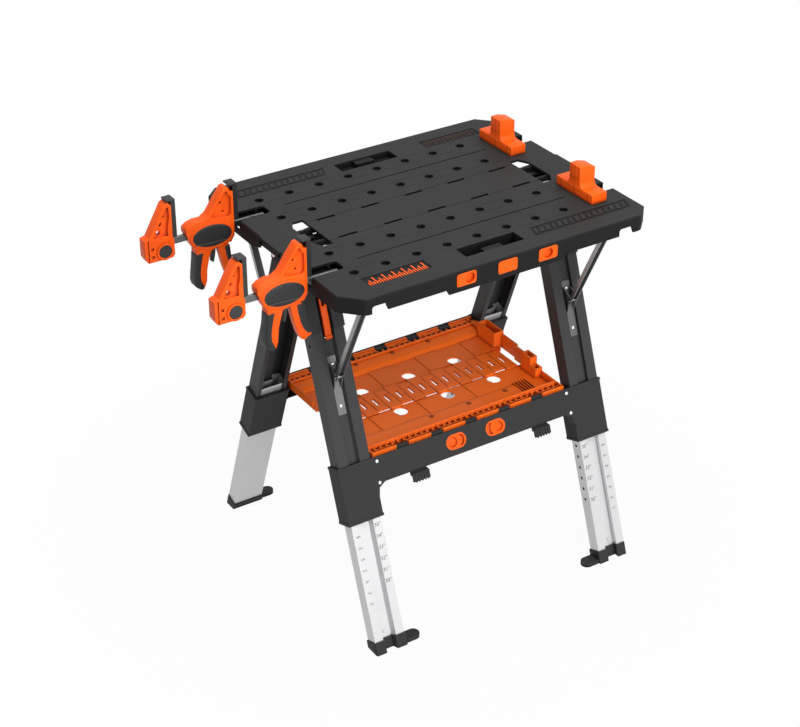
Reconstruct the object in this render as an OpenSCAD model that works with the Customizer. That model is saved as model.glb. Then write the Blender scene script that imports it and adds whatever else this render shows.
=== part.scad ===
// Folding workbench: a worktop in two wings on two leaning leg frames, with a
// folding tray between the frames, sliding inner legs, bench dogs and bar clamps.
// Front pieces lie at negative Y. Most rear pieces are the front ones turned
// half a turn about Z. Origin on the floor under the middle of the worktop.

/* [Worktop] */
// Length of the worktop
top_len = 787; // [775:1:800]
// Width of the worktop
top_wid = 630; // [620:1:640]
// Height of the working surface with the legs drawn out
top_h = 889; // [870:1:910]
// Thickness of the worktop skin
skin_t = 6; // [5.5:0.25:6.5]
// Depth of the skirt round the worktop
skirt_h = 37; // [35:1:38]
// Extra depth of the middle of the long skirt
mid_drop = 12; // [8:1:14]
// Thickness of the skirt
wall_t = 4; // [3:0.5:5]
// Width of the bevel along the worktop's edge
bevel = 4; // [2:0.5:5]
// Radius of a bench dog hole
dog_r = 10; // [9:0.5:11]
// Spacing of the dog holes along the worktop
dog_pitch = 77; // [74:1:78]
// Distance of the inner row of dog holes from the middle
dog_row = 100.5; // [98:0.5:103]
// Width of a clamp slot
slot_w = 40; // [36:1:44]
// Length of a clamp slot
slot_len = 80; // [72:1:82]

/* [Leg frames] */
// Lean of the legs from upright, in degrees
lean = 20; // [18:0.5:20.5]
// Distance of a leg's middle from the worktop's end
leg_in = 78.5; // [77.5:0.5:79.5]
// Width of a leg channel
channel_w = 80; // [79.5:0.25:80]
// Depth of a leg channel
channel_d = 38; // [36:0.5:39]
// Sheet thickness of the leg channels
sheet_t = 1.5; // [1.25:0.25:1.75]
// Depth of the groove down the front of a leg channel
groove_d = 8; // [6:0.5:8.5]
// Height of the beam between the collars
beam_h = 60; // [54:1:62]
// Height of a collar
collar_h = 134; // [128:1:140]

/* [Struts] */
// Width of a strut
strut_w = 16; // [15:0.5:16.5]
// Depth of a strut
strut_d = 10; // [8:0.5:10.5]
// Radius of the strut pins
strut_pin_r = 3; // [2.5:0.25:3.25]

/* [Inner legs] */
// Width of an inner leg
inner_w = 76; // [74:0.5:76.25]
// Depth of an inner leg
inner_d = 32; // [30:0.5:33]
// Length of an inner leg
inner_len = 450; // [430:1:460]
// Spacing of the height stops along the leg
stop_pitch = 27; // [25:0.5:28]

/* [Tray] */
// Thickness of the tray floor
floor_t = 4; // [3:0.5:4.5]
// Height of the tray rim above the floor
rim_h = 16; // [14:0.5:16.5]
// Reach of a tray finger past the middle
finger_reach = 35; // [28:1:35]
// Distance of the tray floor's inner edge from the middle
floor_gap = 40; // [38:1:44]

/* [Clamps and dogs] */
// Thickness of a clamp bar
bar_t = 6; // [5:0.5:6.5]
// Height of a clamp bar
bar_h = 15; // [13:0.5:16]
// Thickness of a clamp housing
housing_t = 26; // [22:1:28]
// Size that the clamp outlines follow
clamp_size = 100; // [92:1:103]
// Length of a dog block
block_len = 128; // [120:1:132]
// Height of a dog block's post above its base
post_h = 49; // [40:1:56]

/* [Hidden] */
$fn = 48;

black = "#232427";
orange = "#ef5a17";
steel = "#7d8084";
bright = "#c9ccd0";

// Overrun of every cut past the face that it opens
cut = 1;
// Clearance between faces that pass each other
gap = 0.3;
// Radial clearance of a running fit
fit = 0.05;
// Small step used for lips and rivets' reveals
unit_lip = 1;
// Depth by which a rib or web runs into what carries it
lap = 0.75;

// Worktop
hx = top_len / 2;
hy = top_wid / 2;
skin_z = top_h - skin_t;
skirt_z = top_h - skirt_h;
// Inner end of the end blocks, and depth of the opening beside them
end_x = hx - slot_len;
well_y = 66;
// Half length and half width of the fixed middle plate
mid_x = end_x - 37.5;
mid_y = 50;
// Half width of the end blocks, and the seam beside each
end_y = 41;
seam = 1.5;
end_seam = 0.5;
// Hinge of the wings
hinge_y = 46;
hinge_drop = 14;
hinge_z = top_h - hinge_drop;
rod_r = 3;
rod_end = 6;
knuckle_r = 8;
knuckle_len = 44;
knuckle_xs = [-228, -114, 0, 114, 228] * (mid_x / 276);
lug_r = 7.5;
lug_t = 8;
lug_gap = 2;
pocket_in = 6.5;
// Corners of a wing: long chamfer on the left, short on the right
big_cx = 50.5;
big_cy = 53;
small_cx = 41;
small_cy = 40;
ease = 8;
ease_share = 0.3;
chamfer_share = 0.7;

// Legs' middle and sides, and the share by which beam and tray follow them
leg_x = hx - leg_in;
chan_x0 = leg_x - channel_w / 2;
chan_x1 = leg_x + channel_w / 2;
span_share = chan_x0 / 275;

// Pivots of the leg frames
pivot_y = 28;
pivot_drop = 39;
pivot_z = top_h - pivot_drop;
pivot_in = 17.5;
pivot_r = 5;
pivot_head_r = 8;
web_t = 8;
web_in_x = chan_x0 - 35;
web_out_x = chan_x1 + 7;
web_low = 14;
web_y = 40;
web_top_y = 34;
web_step = 12;
rail_y = 30;
rail_t = 8;
rail_h = 11;

// Leg frame coordinates: Z up the leg from near the floor, Y inward
foot_lift = 32.8;
leg_u = (pivot_z - foot_lift + pivot_in * sin(lean)) / cos(lean);
leg_y0 = -pivot_y - pivot_in * cos(lean) - leg_u * sin(lean);
leg_r = 19;
lip_w = 11;
groove_x0 = leg_x - 10;
groove_x1 = leg_x + 14;
groove_slope = 5;
collar_u = 276;
collar_t = 4;
collar_front = 2;
collar_lip = 1.2;
collar_lip_h = 6;
collar_back = 44;
chan_u = collar_u + collar_t;
beam_top = collar_u + collar_h - unit_lip;
beam_u = beam_top - beam_h;
beam_t = 3;
beam_d = 26;
arch_w = 25;
arch_h = 30;
window_x = 54;
window_u = beam_u + beam_h / 2 + 1.5 * unit_lip;
window_r = 18;
window_l = 9;
insert_t = 4;
hook_w = 43;
hook_h = 29;
hook_d = 13;
hook_xs = [-163, 172] * span_share;

// Struts: upper pin under the wing, lower pin on the leg
strut_x = leg_x + 1;
strut_far = 220;
strut_low = 14;
strut_ear_r = 8;
strut_ear_t = 2;
strut_ear_x = strut_w / 2 + gap;
strut_pin_x = strut_ear_x + strut_ear_t + unit_lip;
strut_t = 1.5;
strut_end = 8;
s_y = -hinge_y - strut_far;
s_z = hinge_z - strut_low;
low_pin_u = leg_u - 265;
low_pin_out = 10;
p_y = leg_y0 - low_pin_out * cos(lean) + low_pin_u * sin(lean);
p_z = foot_lift + low_pin_out * sin(lean) + low_pin_u * cos(lean);
strut_len = sqrt(pow(p_y - s_y, 2) + pow(s_z - p_z, 2));
strut_lean = asin((p_y - s_y) / strut_len);
base_w = 26;
base_l = 28;
bracket_l = 134;
bracket_u = low_pin_u - 88;
rivet_r = 4;
rivet_h = 1.5;

// Top brackets and lever
cap_t = 3;
cap_front = 2.5;
cap_u = leg_u - 161;
cap_r = 20.5;
cap_d = 22;
flare_x = 22;
flare_u = leg_u - 106;
flare_h = 26;
flare_d = 26;
flare_r = 16.5;
lever_w = 15;
lever_u = leg_u - 175;
lever_len = 96;
lever_in = 1;
lever_t = 8;
lever_boss_r = 6;
lever_pin_r = 2.5;
lever_gap = 6;

// Inner legs and feet
in_x0 = leg_x - inner_w / 2;
in_x1 = leg_x + inner_w / 2;
in_y = sheet_t + 0.5 * unit_lip;
in_groove = 14;
in_low = 20;
wall_in = 1.5;
stop_r = 4;
stop_u = 126;
stop_y = 20;
screw_r = 4;
screw_u = 11;
foot_wall = 2.5;
foot_top = 4;
foot_deep = 30;
toe_len = 44;
toe_h = 9;
toe_r = 15;
toe_in = 7;

// Tray, about its hinge behind the top edge of the beam
tray_in = 15.4;
tray_u = beam_top - 0.8 * unit_lip;
ty = -(leg_y0 + tray_in * cos(lean) + tray_u * sin(lean));
tz = foot_lift - tray_in * sin(lean) + tray_u * cos(lean);
tray_x0 = 10 - chan_x0;
tray_x1 = chan_x0 - 13;
tray_far = chan_x0 - 6.5;
tray_rod_r = 2.5;
tray_barrel_r = 7;
tray_knuckle = 30;
tray_pitch = 92.3 * span_share;
floor_z = tz - 6;
tray_rim = 6;
finger_pitch = 65.2 * span_share;
tray_wall = 4;
cell_in = 22;
cell_out = 7;
cell_pitch = 15.4 * span_share;
finger_w = finger_pitch / 2 - 1.4;
finger_off = 28.6;
finger_rear = 4;
finger_t = 6;
finger_win = 8;
big_hole_r = 17;
big_hole_y = 60;
small_hole_r = 9.5;
small_hole_y = 144;
slat_w = 65 * span_share;
slat_t = 2;
slat_xs = [-148.5, -18, 112.5] * span_share;
rear_slat_xs = [-215.5, -85.5, 45.5, 176.5] * span_share;
slat_y0 = 120;
slat_y1 = 48;
fin_y1 = 105;
end_wall_y0 = 62;
end_wall_y1 = 8;
end_wall_lap = 5;
box_y0 = 125;
box_y1 = 55;
box_w = 28;
block_mid = 90;
block_y0 = 112;
tray_block_w = 20;
fin_x = chan_x0 - 95;
fin_y0 = 160;
rear_big_x = 3;
rear_small_x = 1;
front_hole_x = 28;
big_hole_pitch = 130.5 * span_share;
small_hole_pitch = 103 * span_share;
end_wall_t = 5.5;
end_wall_h = 33;

// Clamps
clamp_y = 157;
bar_z = top_h - 23;
clamp_x = -hx - 60.5;
bar_x0 = clamp_x - 134;
bar_x1 = clamp_x + 132;
clamp_z = bar_z + bar_h / 2;
pad_t = 10;
button_r = 14;
button_out = 2;
button_h = 5.5;
button_deep = 7;
cradle_t = 2;
cradle_w = 6;

// Dogs
block_x0 = hx - 96.5;
block_w = 41;
block_h = 22;
block_y = 152;
post_w = 38;
post_slope = 6;
peg_len = 16;
fillet_r = 12;

module box(x0, x1, y0, y1, z0, z1) {
    translate([x0, y0, z0]) cube([x1 - x0, y1 - y0, z1 - z0]);
}
module rod_x(x0, x1, y, z, r) {
    translate([x0, y, z]) rotate([0, 90, 0]) cylinder(r = r, h = x1 - x0);
}
module rod_y(x, y0, y1, z, r) {
    translate([x, y0, z]) rotate([-90, 0, 0]) cylinder(r = r, h = y1 - y0);
}
module rod_z(x, y, z0, z1, r) {
    translate([x, y, z0]) cylinder(r = r, h = z1 - z0);
}
// Outline in Y and Z, drawn along X
module prism_x(pts, x0, x1) {
    translate([x0, 0, 0]) rotate([90, 0, 90]) linear_extrude(x1 - x0) polygon(pts);
}
// Outline in X and Z, drawn along Y
module prism_y(pts, y0, y1) {
    translate([0, y1, 0]) rotate([90, 0, 0]) linear_extrude(y1 - y0) polygon(pts);
}
module both() {
    children();
    mirror([1, 0, 0]) children();
}
module left() {
    mirror([1, 0, 0]) children();
}
module rear() {
    rotate([0, 0, 180]) children();
}
module leg_frame() {
    translate([0, leg_y0, foot_lift]) rotate([-lean, 0, 0]) children();
}
function sized(shares, size, x = 0, z = 0) = [for (p = shares) [x + p[0] * size, z + p[1] * size]];

// Fixed middle of the worktop
module center_beam() color(black) difference() {
    union() {
        box(-mid_x, mid_x, -mid_y, mid_y, skin_z, top_h);
        both() box(end_x, hx, -end_y, end_y, skin_z, top_h);
        both() box(hx - wall_t, hx, -rail_y, rail_y, top_h - rail_h - skin_t, skin_z + lap);
        for (s = [-1, 1]) box(-hx, hx, s * rail_y - rail_t / 2, s * rail_y + rail_t / 2,
            skin_z - rail_h, skin_z + lap);
        both() for (x = [web_in_x, web_out_x]) {
            box(x, x + web_t, -web_top_y, web_top_y, pivot_z - web_low, skin_z + lap);
            box(x, x + web_t, -web_y, web_y, pivot_z - web_low, pivot_z + web_step);
        }
        for (s = [-1, 1]) {
            for (x = knuckle_xs, e = [-1, 1])
                lug(x + e * (knuckle_len / 2 + lug_gap + lug_t / 2), s);
            both() lug(web_out_x + web_t / 2, s);
        }
    }
    for (x = knuckle_xs, s = [-1, 1])
        box(x - knuckle_len / 2 - lug_gap / 2, x + knuckle_len / 2 + lug_gap / 2,
            s > 0 ? mid_y - pocket_in : -mid_y - cut, s > 0 ? mid_y + cut : pocket_in - mid_y,
            skin_z - cut, top_h + cut);
    for (s = [-1, 1]) {
        rod_x(-hx, hx, s * hinge_y, hinge_z, rod_r + fit);
        both() rod_x(web_in_x - cut, web_out_x + web_t + cut, s * pivot_y, pivot_z, pivot_r + fit);
    }
}
module lug(x, s) {
    rod_x(x - lug_t / 2, x + lug_t / 2, s * hinge_y, hinge_z, lug_r);
    box(x - lug_t / 2, x + lug_t / 2, s > 0 ? rail_y : -hinge_y, s > 0 ? hinge_y : -rail_y,
        hinge_z - lug_r, hinge_z + lug_r);
}
module hinge_rods() color(steel) for (s = [-1, 1])
    rod_x(rod_end - hx, hx - rod_end, s * hinge_y, hinge_z, rod_r);
module leg_pivots() color(steel) for (s = [-1, 1]) both() {
    rod_x(web_in_x - lug_gap, web_out_x + web_t + lug_gap, s * pivot_y, pivot_z, pivot_r);
    rod_x(web_in_x - 2 * lug_gap, web_in_x, s * pivot_y, pivot_z, pivot_head_r);
    rod_x(web_out_x + web_t, web_out_x + web_t + lug_gap, s * pivot_y, pivot_z, pivot_head_r);
}

// Outer outline of a wing, grown or shrunk by a share about the middle
function wing_outline(fx, fy, inner) = [
    [-hx * fx, inner], [-hx * fx, (big_cy - hy) * fy],
    [(ease * ease_share - hx) * fx, (big_cy - hy - ease) * fy],
    [(big_cx - hx - ease) * fx, (ease * ease_share - hy) * fy], [(big_cx - hx) * fx, -hy * fy],
    [(hx - small_cx) * fx, -hy * fy], [(hx - small_cx + ease) * fx, (ease * ease_share - hy) * fy],
    [(hx - ease * ease_share) * fx, (small_cy - hy - ease) * fy], [hx * fx, (small_cy - hy) * fy],
    [hx * fx, inner]];
plate_x0 = 80.5 - hx;
plate_l = 154;
plate_y0 = -270;
plate_w = 38;
plate_d = 1.5;
tick_pitch = 6;
tick_w = 3;
chart_x0 = hx - 290.5;
chart_l = 274;
chart_skew = 14;
chart_d = 1;
groove_x = end_x - 42.5;
groove_y = 150;
groove_w = 4;
grip_x = 75;
grip_y0 = 228;
grip_w = 42;
grip_deep = 30;
grip_bar = 12;
grip_block = 24;
rib_t = 3;
rib_xs = [-2.5, -1.5, -0.5, 0.5, 1.5, 2.5] * dog_pitch;
rib_y0 = 70;
rib_h = 15;
rib_far = end_x - 51.5;
notch_h = 17;
notch_xs = [90.5 - hx, hx - 62.5];
notch_w = 28;
notch_slant = 7;
notch_ease = 4;
mid_skirt_x = 154;
mid_ease = 7;
insert_xs = [-105, 0, 105];
insert_w = 50;
insert_h = 30;
insert_r = 6;
insert_deep = 7;
insert_hole_r = 12;
insert_hole_off = 9;
wing_ear_x = hx - 20.5;
wing_ear_w = 14;
rise_y = 80;
rise_h = 10;

module wing() color(black) difference() {
    union() {
        difference() {
            translate([0, 0, skirt_z]) linear_extrude(skirt_h)
                polygon(wing_outline(1, 1, -end_y - end_seam));
            translate([0, 0, skirt_z - cut]) linear_extrude(skirt_h - skin_t + cut)
                polygon(wing_outline(1 - wall_t / hx, 1 - wall_t / hy, 0));
            prism_x([[-rise_y, skirt_z - cut], [-rise_y, skirt_z], [-hinge_y, skirt_z + rise_h],
                [-hinge_y, hinge_z - lug_r], [-end_y, hinge_z - lug_r], [0, skirt_z - cut]],
                -hx - cut, hx + cut);
            box(-mid_x, mid_x, -mid_y - seam, 0, skin_z - cut, top_h + cut);
            both() prism_z_well();
            wing_bevels();
        }
        prism_y([[-mid_skirt_x, skirt_z + lap], [-mid_skirt_x, skirt_z],
            [mid_ease - mid_skirt_x, skirt_z - mid_drop], [mid_skirt_x - mid_ease, skirt_z - mid_drop],
            [mid_skirt_x, skirt_z], [mid_skirt_x, skirt_z + lap]], -hy, wall_t - hy);
        for (x = knuckle_xs) wing_knuckle(x - knuckle_len / 2, x + knuckle_len / 2);
        both() wing_knuckle(wing_ear_x, wing_ear_x + wing_ear_w);
        for (x = rib_xs) box(x - rib_t / 2, x + rib_t / 2, wall_t / 2 - hy, -rib_y0,
            skin_z - rib_h, skin_z + lap);
        for (y = [rib_y0, groove_y])
            box(-rib_far, rib_far, -y - rib_t, -y, skin_z - rib_h, skin_z + lap);
        box(-grip_x - rib_t, grip_x + rib_t, -grip_y0 - grip_w - rib_t, -grip_y0 + rib_t,
            top_h - grip_deep - rib_t, skin_z + lap);
        both() cradles();
    }
    for (i = [-4:4], j = [1, 2]) rod_z(i * dog_pitch, -j * dog_row, skirt_z - cut, top_h + cut, dog_r);
    both() {
        box(end_x + slot_w / 4, hx + cut, -groove_far - slot_w, -groove_far, bar_z, top_h + cut);
        box(end_x, end_x + slot_w / 2, -groove_far - slot_w * 3 / 4, -groove_far - slot_w / 4,
            bar_z, top_h + cut);
        for (k = [1, 3]) rod_z(end_x + slot_w / 4, -groove_far - slot_w * k / 4, bar_z, top_h + cut,
            slot_w / 4);
    }
    box(-groove_x, groove_x, -groove_y - groove_w, -groove_y, top_h - plate_d, top_h + cut);
    box(plate_x0, plate_x0 + plate_l, plate_y0, plate_y0 + plate_w, top_h - plate_d, top_h + cut);
    translate([0, 0, top_h - chart_d]) linear_extrude(chart_d + cut) polygon([
        [chart_x0, plate_y0], [chart_x0 + chart_l - chart_skew, plate_y0],
        [chart_x0 + chart_l, plate_y0 + plate_w], [chart_x0 + chart_skew, plate_y0 + plate_w]]);
    difference() {
        box(-grip_x, grip_x, -grip_y0 - grip_w, -grip_y0, top_h - grip_deep, top_h + cut);
        box(-grip_x, grip_x, -grip_y0 - grip_w, -grip_y0 - grip_w + grip_bar,
            top_h - grip_deep, top_h - grip_deep / 2);
        box(-grip_block, grip_block, -grip_y0 - grip_w, -grip_y0 - grip_w / 2,
            top_h - grip_deep, top_h - skin_t / 2);
    }
    for (x = notch_xs) prism_y([[x - notch_w - notch_ease, skirt_z - cut],
        [x - notch_w - notch_ease, skirt_z + notch_h - notch_ease], [x - notch_w, skirt_z + notch_h],
        [x, skirt_z + notch_h], [x + notch_slant, skirt_z - cut]], -hy - cut, 2 * wall_t - hy);
    for (x = insert_xs) insert_shape(x, 0, -hy - cut, insert_deep - hy);
    rod_x(-hx - cut, hx + cut, -hinge_y, hinge_z, rod_r + fit);
}
groove_far = clamp_y - slot_w / 2 - 2 * unit_lip;
module wing_knuckle(x0, x1) {
    rod_x(x0, x1, -hinge_y, hinge_z, knuckle_r);
    box(x0, x1, -rib_y0, knuckle_r / 4 - hinge_y, hinge_z - knuckle_r, skin_z);
    box(x0, x1, -rib_y0, -mid_y - 2 * seam, hinge_z, skin_z + lap);
}
// Opening beside the end block, with its slanted edge
module prism_z_well() {
    translate([0, 0, skin_z - cut]) linear_extrude(skin_t + 2 * cut) polygon([[mid_x, 0],
        [mid_x, -well_y], [end_x - slot_w / 3, -well_y], [end_x, -end_y - end_seam], [end_x, 0]]);
}
module bevel_cut(x, y, turn, len, w) {
    translate([x, y, top_h]) rotate([0, 0, turn])
        prism_x([[-cut, cut], [-cut, -w], [w, 0], [w, cut]], -len / 2, len / 2);
}
module wing_bevels() {
    bevel_cut(0, -hy, 0, 2 * top_wid, bevel);
    bevel_cut(-hx, -hy, -90, 2 * top_wid, bevel);
    bevel_cut(hx, -hy, 90, 2 * top_wid, bevel);
    bevel_cut((big_cx - ease + ease * ease_share) / 2 - hx, (big_cy - ease + ease * ease_share) / 2 - hy,
        -atan2(big_cy - ease - ease * ease_share, big_cx - ease - ease * ease_share), 2 * top_wid,
        bevel * chamfer_share);
    bevel_cut(hx - (small_cx - ease + ease * ease_share) / 2, (small_cy - ease + ease * ease_share) / 2 - hy,
        atan2(small_cy - ease - ease * ease_share, small_cx - ease - ease * ease_share), 2 * top_wid,
        bevel * chamfer_share);
}
// Cradles that the clamp bar rests on
module cradles() for (x = [end_x + 6.5 * cradle_t, hx - wall_t - 2 * cradle_w])
    box(x, x + cradle_w, -groove_far - slot_w - cradle_w, cradle_w - groove_far, bar_z - cradle_t,
        skin_z + lap);
module insert_shape(x, less, y0, y1) {
    z = skirt_z + insert_h / 2;
    w = insert_w / 2 - less;
    h = insert_h / 2 - less;
    r = insert_r - less;
    box(x - w, x + w, y0, y1, z - h + r, z + h - r);
    box(x - w + r, x + w - r, y0, y1, z - h, z + h);
    for (a = [-1, 1], b = [-1, 1]) rod_y(x + a * (w - r), y0, y1, z + b * (h - r), r);
}
module inserts() color(orange) {
    for (x = insert_xs) difference() {
        insert_shape(x, gap, -hy - unit_lip, insert_deep - hy - unit_lip);
        if (x != 0) rod_y(x + (x < 0 ? insert_hole_off : unit_lip), -hy - 2 * cut,
            insert_deep - hy, skirt_z + insert_h / 2, insert_hole_r);
    }
    for (i = [1:floor(plate_l / tick_pitch) - 1])
        box(plate_x0 + i * tick_pitch - tick_w / 2, plate_x0 + i * tick_pitch + tick_w / 2,
            plate_y0 + tick_w, plate_y0 + plate_w * (i % 4 == 0 ? 0.85 : i % 2 == 0 ? 0.6 : 0.4),
            top_h - plate_d, top_h - plate_d + unit_lip);
}
module strut_mounts() color(steel) both() translate([strut_x, 0, 0]) {
    difference() {
        union() {
            box(-base_w / 2, base_w / 2, s_y - base_l / 2, s_y + base_l / 2, skin_z - strut_t, skin_z);
            for (s = [-1, 1]) strut_ear(s, s_y, s_z);
        }
        box(-strut_ear_x, strut_ear_x, s_y - base_l, s_y + base_l, s_z - base_l, skin_z - strut_t);
    }
    rod_x(-strut_pin_x, strut_pin_x, s_y, s_z, strut_pin_r);
}
module strut_ear(s, y, z) {
    x = s > 0 ? strut_ear_x : -strut_ear_x - strut_ear_t;
    rod_x(x, x + strut_ear_t, y, z, strut_ear_r);
    box(x, x + strut_ear_t, y - strut_ear_r, y + strut_ear_r, z, skin_z);
}

// Strut from its upper pin to its lower pin, in the worktop's coordinates
module strut() color(steel) translate([strut_x, s_y, s_z]) rotate([strut_lean, 0, 0]) {
    difference() {
        box(-strut_w / 2, strut_w / 2, -strut_d / 2, strut_d / 2, -strut_len - strut_end, strut_end);
        box(strut_t - strut_w / 2, strut_w / 2 - strut_t, -strut_d / 2 - cut, strut_d / 2 - strut_t,
            -strut_len - strut_end - cut, strut_end + cut);
        rod_x(-strut_w, strut_w, 0, 0, strut_pin_r + fit);
    }
    rod_x(-strut_pin_x, strut_pin_x, 0, -strut_len, strut_pin_r);
}

// Leg channel on the right, in the leg frame
module channel() color(black) intersection() {
    difference() {
        translate([0, 0, chan_u]) linear_extrude(leg_u + leg_r - chan_u) polygon([
            [chan_x0, 0], [groove_x0 - groove_slope, 0], [groove_x0, groove_d], [groove_x1, groove_d],
            [groove_x1, 0], [chan_x1, 0], [chan_x1, channel_d], [chan_x1 - lip_w, channel_d],
            [chan_x1 - lip_w, channel_d - sheet_t], [chan_x1 - sheet_t, channel_d - sheet_t],
            [chan_x1 - sheet_t, sheet_t], [groove_x1 + sheet_t, sheet_t],
            [groove_x1 + sheet_t, groove_d + sheet_t], [groove_x0 - sheet_t / 2, groove_d + sheet_t],
            [groove_x0 - groove_slope - sheet_t / 2, sheet_t], [chan_x0 + sheet_t, sheet_t],
            [chan_x0 + sheet_t, channel_d - sheet_t], [chan_x0 + lip_w, channel_d - sheet_t],
            [chan_x0 + lip_w, channel_d], [chan_x0, channel_d]]);
        rod_x(chan_x0 - cut, chan_x1 + cut, pivot_in, leg_u, pivot_r + fit);
        rod_x(leg_x, chan_x1 + cut, channel_d / 2, cap_u - stop_pitch, stop_r);
    }
    leg_side(0);
}
// Side outline of a leg's top, grown by some amount
module leg_side(grow, r = leg_r) {
    box(chan_x0 - leg_x, chan_x1 + leg_x, -grow, channel_d, collar_u, leg_u);
    rod_x(chan_x0 - leg_x, chan_x1 + leg_x, pivot_in, leg_u, r + grow / 2);
}
module top_brackets() color(black) leg_frame() both() difference() {
    union() {
        intersection() {
            box(chan_x0 - cap_t, chan_x1 + cap_t, -cap_front, cap_d, cap_u, leg_u + cap_r);
            union() {
                box(chan_x0 - cap_t, chan_x1 + cap_t, -cap_front, cap_d, cap_u, leg_u);
                rod_x(chan_x0 - cap_t, chan_x1 + cap_t, pivot_in, leg_u, cap_r);
            }
        }
        intersection() {
            prism_y([[chan_x0, flare_u], [chan_x0 - flare_x - cap_t, flare_u + flare_h],
                [chan_x0 - flare_x - cap_t, leg_u + leg_r], [chan_x0, leg_u + leg_r]],
                beam_t, flare_d + beam_t);
            leg_side(0, flare_r);
        }
    }
    box(chan_x0, chan_x1, 0, channel_d, cap_u - cut, leg_u);
    rod_x(chan_x0, chan_x1, pivot_in, leg_u, leg_r);
    box(groove_x0 - groove_slope, groove_x1 + strut_t, -cap_front - cut, cut, cap_u - cut,
        lever_u + lever_len + 2 * lever_gap);
    rod_x(chan_x0 - flare_x - 2 * cap_t, chan_x1 + 2 * cap_t, pivot_in, leg_u, pivot_r + fit);
}
// Brackets that the lower strut pins seat in, open downward and outward
module strut_brackets() color(steel) leg_frame() both() translate([strut_x, 0, 0]) {
    box(-strut_ear_x - strut_ear_t, strut_ear_x + strut_ear_t, groove_d - strut_t, groove_d,
        bracket_u, bracket_u + bracket_l);
    for (s = [-1, 1]) {
        x = s > 0 ? strut_ear_x : -strut_ear_x - strut_ear_t;
        r = strut_pin_r + gap;
        prism_x([[groove_d - strut_t, low_pin_u - 9 * r], [r - low_pin_out, low_pin_u - 3 * r],
            [r - low_pin_out, low_pin_u], [r * 0.7 - low_pin_out, low_pin_u + r * 0.75],
            [-low_pin_out, low_pin_u + r + gap / 3], [-low_pin_out - 2 * r, low_pin_u + 1.5 * r],
            [-low_pin_out - 2 * r, low_pin_u + 2.5 * r], [groove_d - strut_t, low_pin_u + 10 * r]],
            x, x + strut_ear_t);
    }
}
module rivet(x, u, y) rod_y(x, y - rivet_h, y, u, rivet_r);
module rivets() color(bright) leg_frame() both() {
    rivet(chan_x0 - 3.5 * rivet_r, beam_top - 2.5 * rivet_r, -collar_front);
    rivet(chan_x0 - 2.75 * rivet_r, beam_u + unit_lip, -collar_front);
    for (u = [bracket_u + 5 * rivet_r, bracket_u + bracket_l - 4.75 * rivet_r])
        rivet(strut_x, u, groove_d - strut_t);
    rivet(chan_x0 - flare_x / 2, leg_u - 8 * rivet_r, beam_t);
}
module lever_pin() color(bright) leg_frame() left()
    rod_x(groove_x0 - groove_slope / 2, groove_x1, lever_in, lever_u, lever_pin_r);
module beam_block(x) difference() {
    union() {
        rod_x(x - tray_knuckle / 2, x + tray_knuckle / 2, tray_in, tray_u, tray_barrel_r);
        box(x - tray_knuckle / 2, x + tray_knuckle / 2, 0, tray_in, tray_u - tray_barrel_r, tray_u);
    }
}
module beam() color(black) leg_frame() difference() {
    union() {
        both() collar();
        box(-chan_x0 + cut, chan_x0 - cut, -collar_front, beam_t - collar_front, beam_u, beam_top);
        box(-chan_x0, chan_x0, -collar_front, beam_d - collar_front, beam_u, beam_u + beam_t);
        box(-chan_x0, chan_x0, -collar_front, beam_d - collar_front, beam_u + beam_h / 2 + beam_t,
            beam_u + beam_h / 2 + 2 * beam_t);
        both() prism_y([[chan_x0, beam_u + unit_lip], [chan_x0 - arch_w, beam_u + unit_lip],
            [chan_x0 - arch_w, beam_u], [chan_x0 - arch_w / 3, beam_u - arch_h / 3],
            [chan_x0 - collar_t, beam_u - arch_h], [chan_x0, beam_u - 1.2 * arch_h]],
            -collar_front, beam_d - collar_front);
        for (x = [-2:2]) beam_block(x * tray_pitch);
        for (x = hook_xs) prism_x([[0, beam_u], [-hook_d, beam_u - hook_h / 6],
            [-hook_d, beam_u + hook_h / 5 - hook_h], [-hook_d / 2, beam_u + hook_h / 5 - hook_h],
            [-hook_d / 2, beam_u - hook_h / 3], [0, beam_u - hook_h / 3], [cut, beam_u], [cut, beam_u + lap],
            [-collar_front, beam_u + lap]],
            x - hook_w / 2, x + hook_w / 2);
    }
    both() stadium(window_x, window_l, window_r, -collar_front - cut, cut * 2);
    rod_x(-chan_x0 + cut, chan_x0 - cut, tray_in, tray_u, tray_rod_r + fit);
}
module stadium(x, l, r, y0, y1) {
    box(x - l, x + l, y0, y1, window_u - r, window_u + r);
    for (s = [-1, 1]) rod_y(x + s * l, y0, y1, window_u, r);
}
module collar() difference() {
    union() {
        box(chan_x0 - collar_t, chan_x1 + collar_t, -collar_front, collar_back, collar_u,
            collar_u + collar_h);
        for (u = [collar_u, collar_u + collar_h - collar_lip_h])
            box(chan_x0 - collar_t - collar_lip, chan_x1 + collar_t + collar_lip,
                -collar_front - collar_lip, collar_back, u, u + collar_lip_h);
    }
    box(chan_x0, chan_x1, 0, channel_d, collar_u - cut, collar_u + collar_h + cut);
}
module beam_inserts() color(orange) leg_frame() both() difference() {
    stadium(window_x, window_l, window_r - gap, -collar_front, insert_t - collar_front);
    rod_y(window_x + window_l, -collar_front - cut, insert_t, window_u, window_r * 0.66);
    difference() {
        rod_y(window_x - window_l / 2, -collar_front - cut, insert_t, window_u, window_r * 0.95);
        rod_y(window_x + window_l * 0.6, -collar_front - 2 * cut, insert_t + cut, window_u, window_r * 1.05);
        box(window_x - 2 * window_r, window_x + window_r, -collar_front - cut, insert_t,
            window_u + window_r * 0.75, window_u + window_r);
        box(window_x - 2 * window_r, window_x + window_r, -collar_front - cut, insert_t,
            window_u - window_r, window_u - window_r * 0.75);
    }
}
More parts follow.
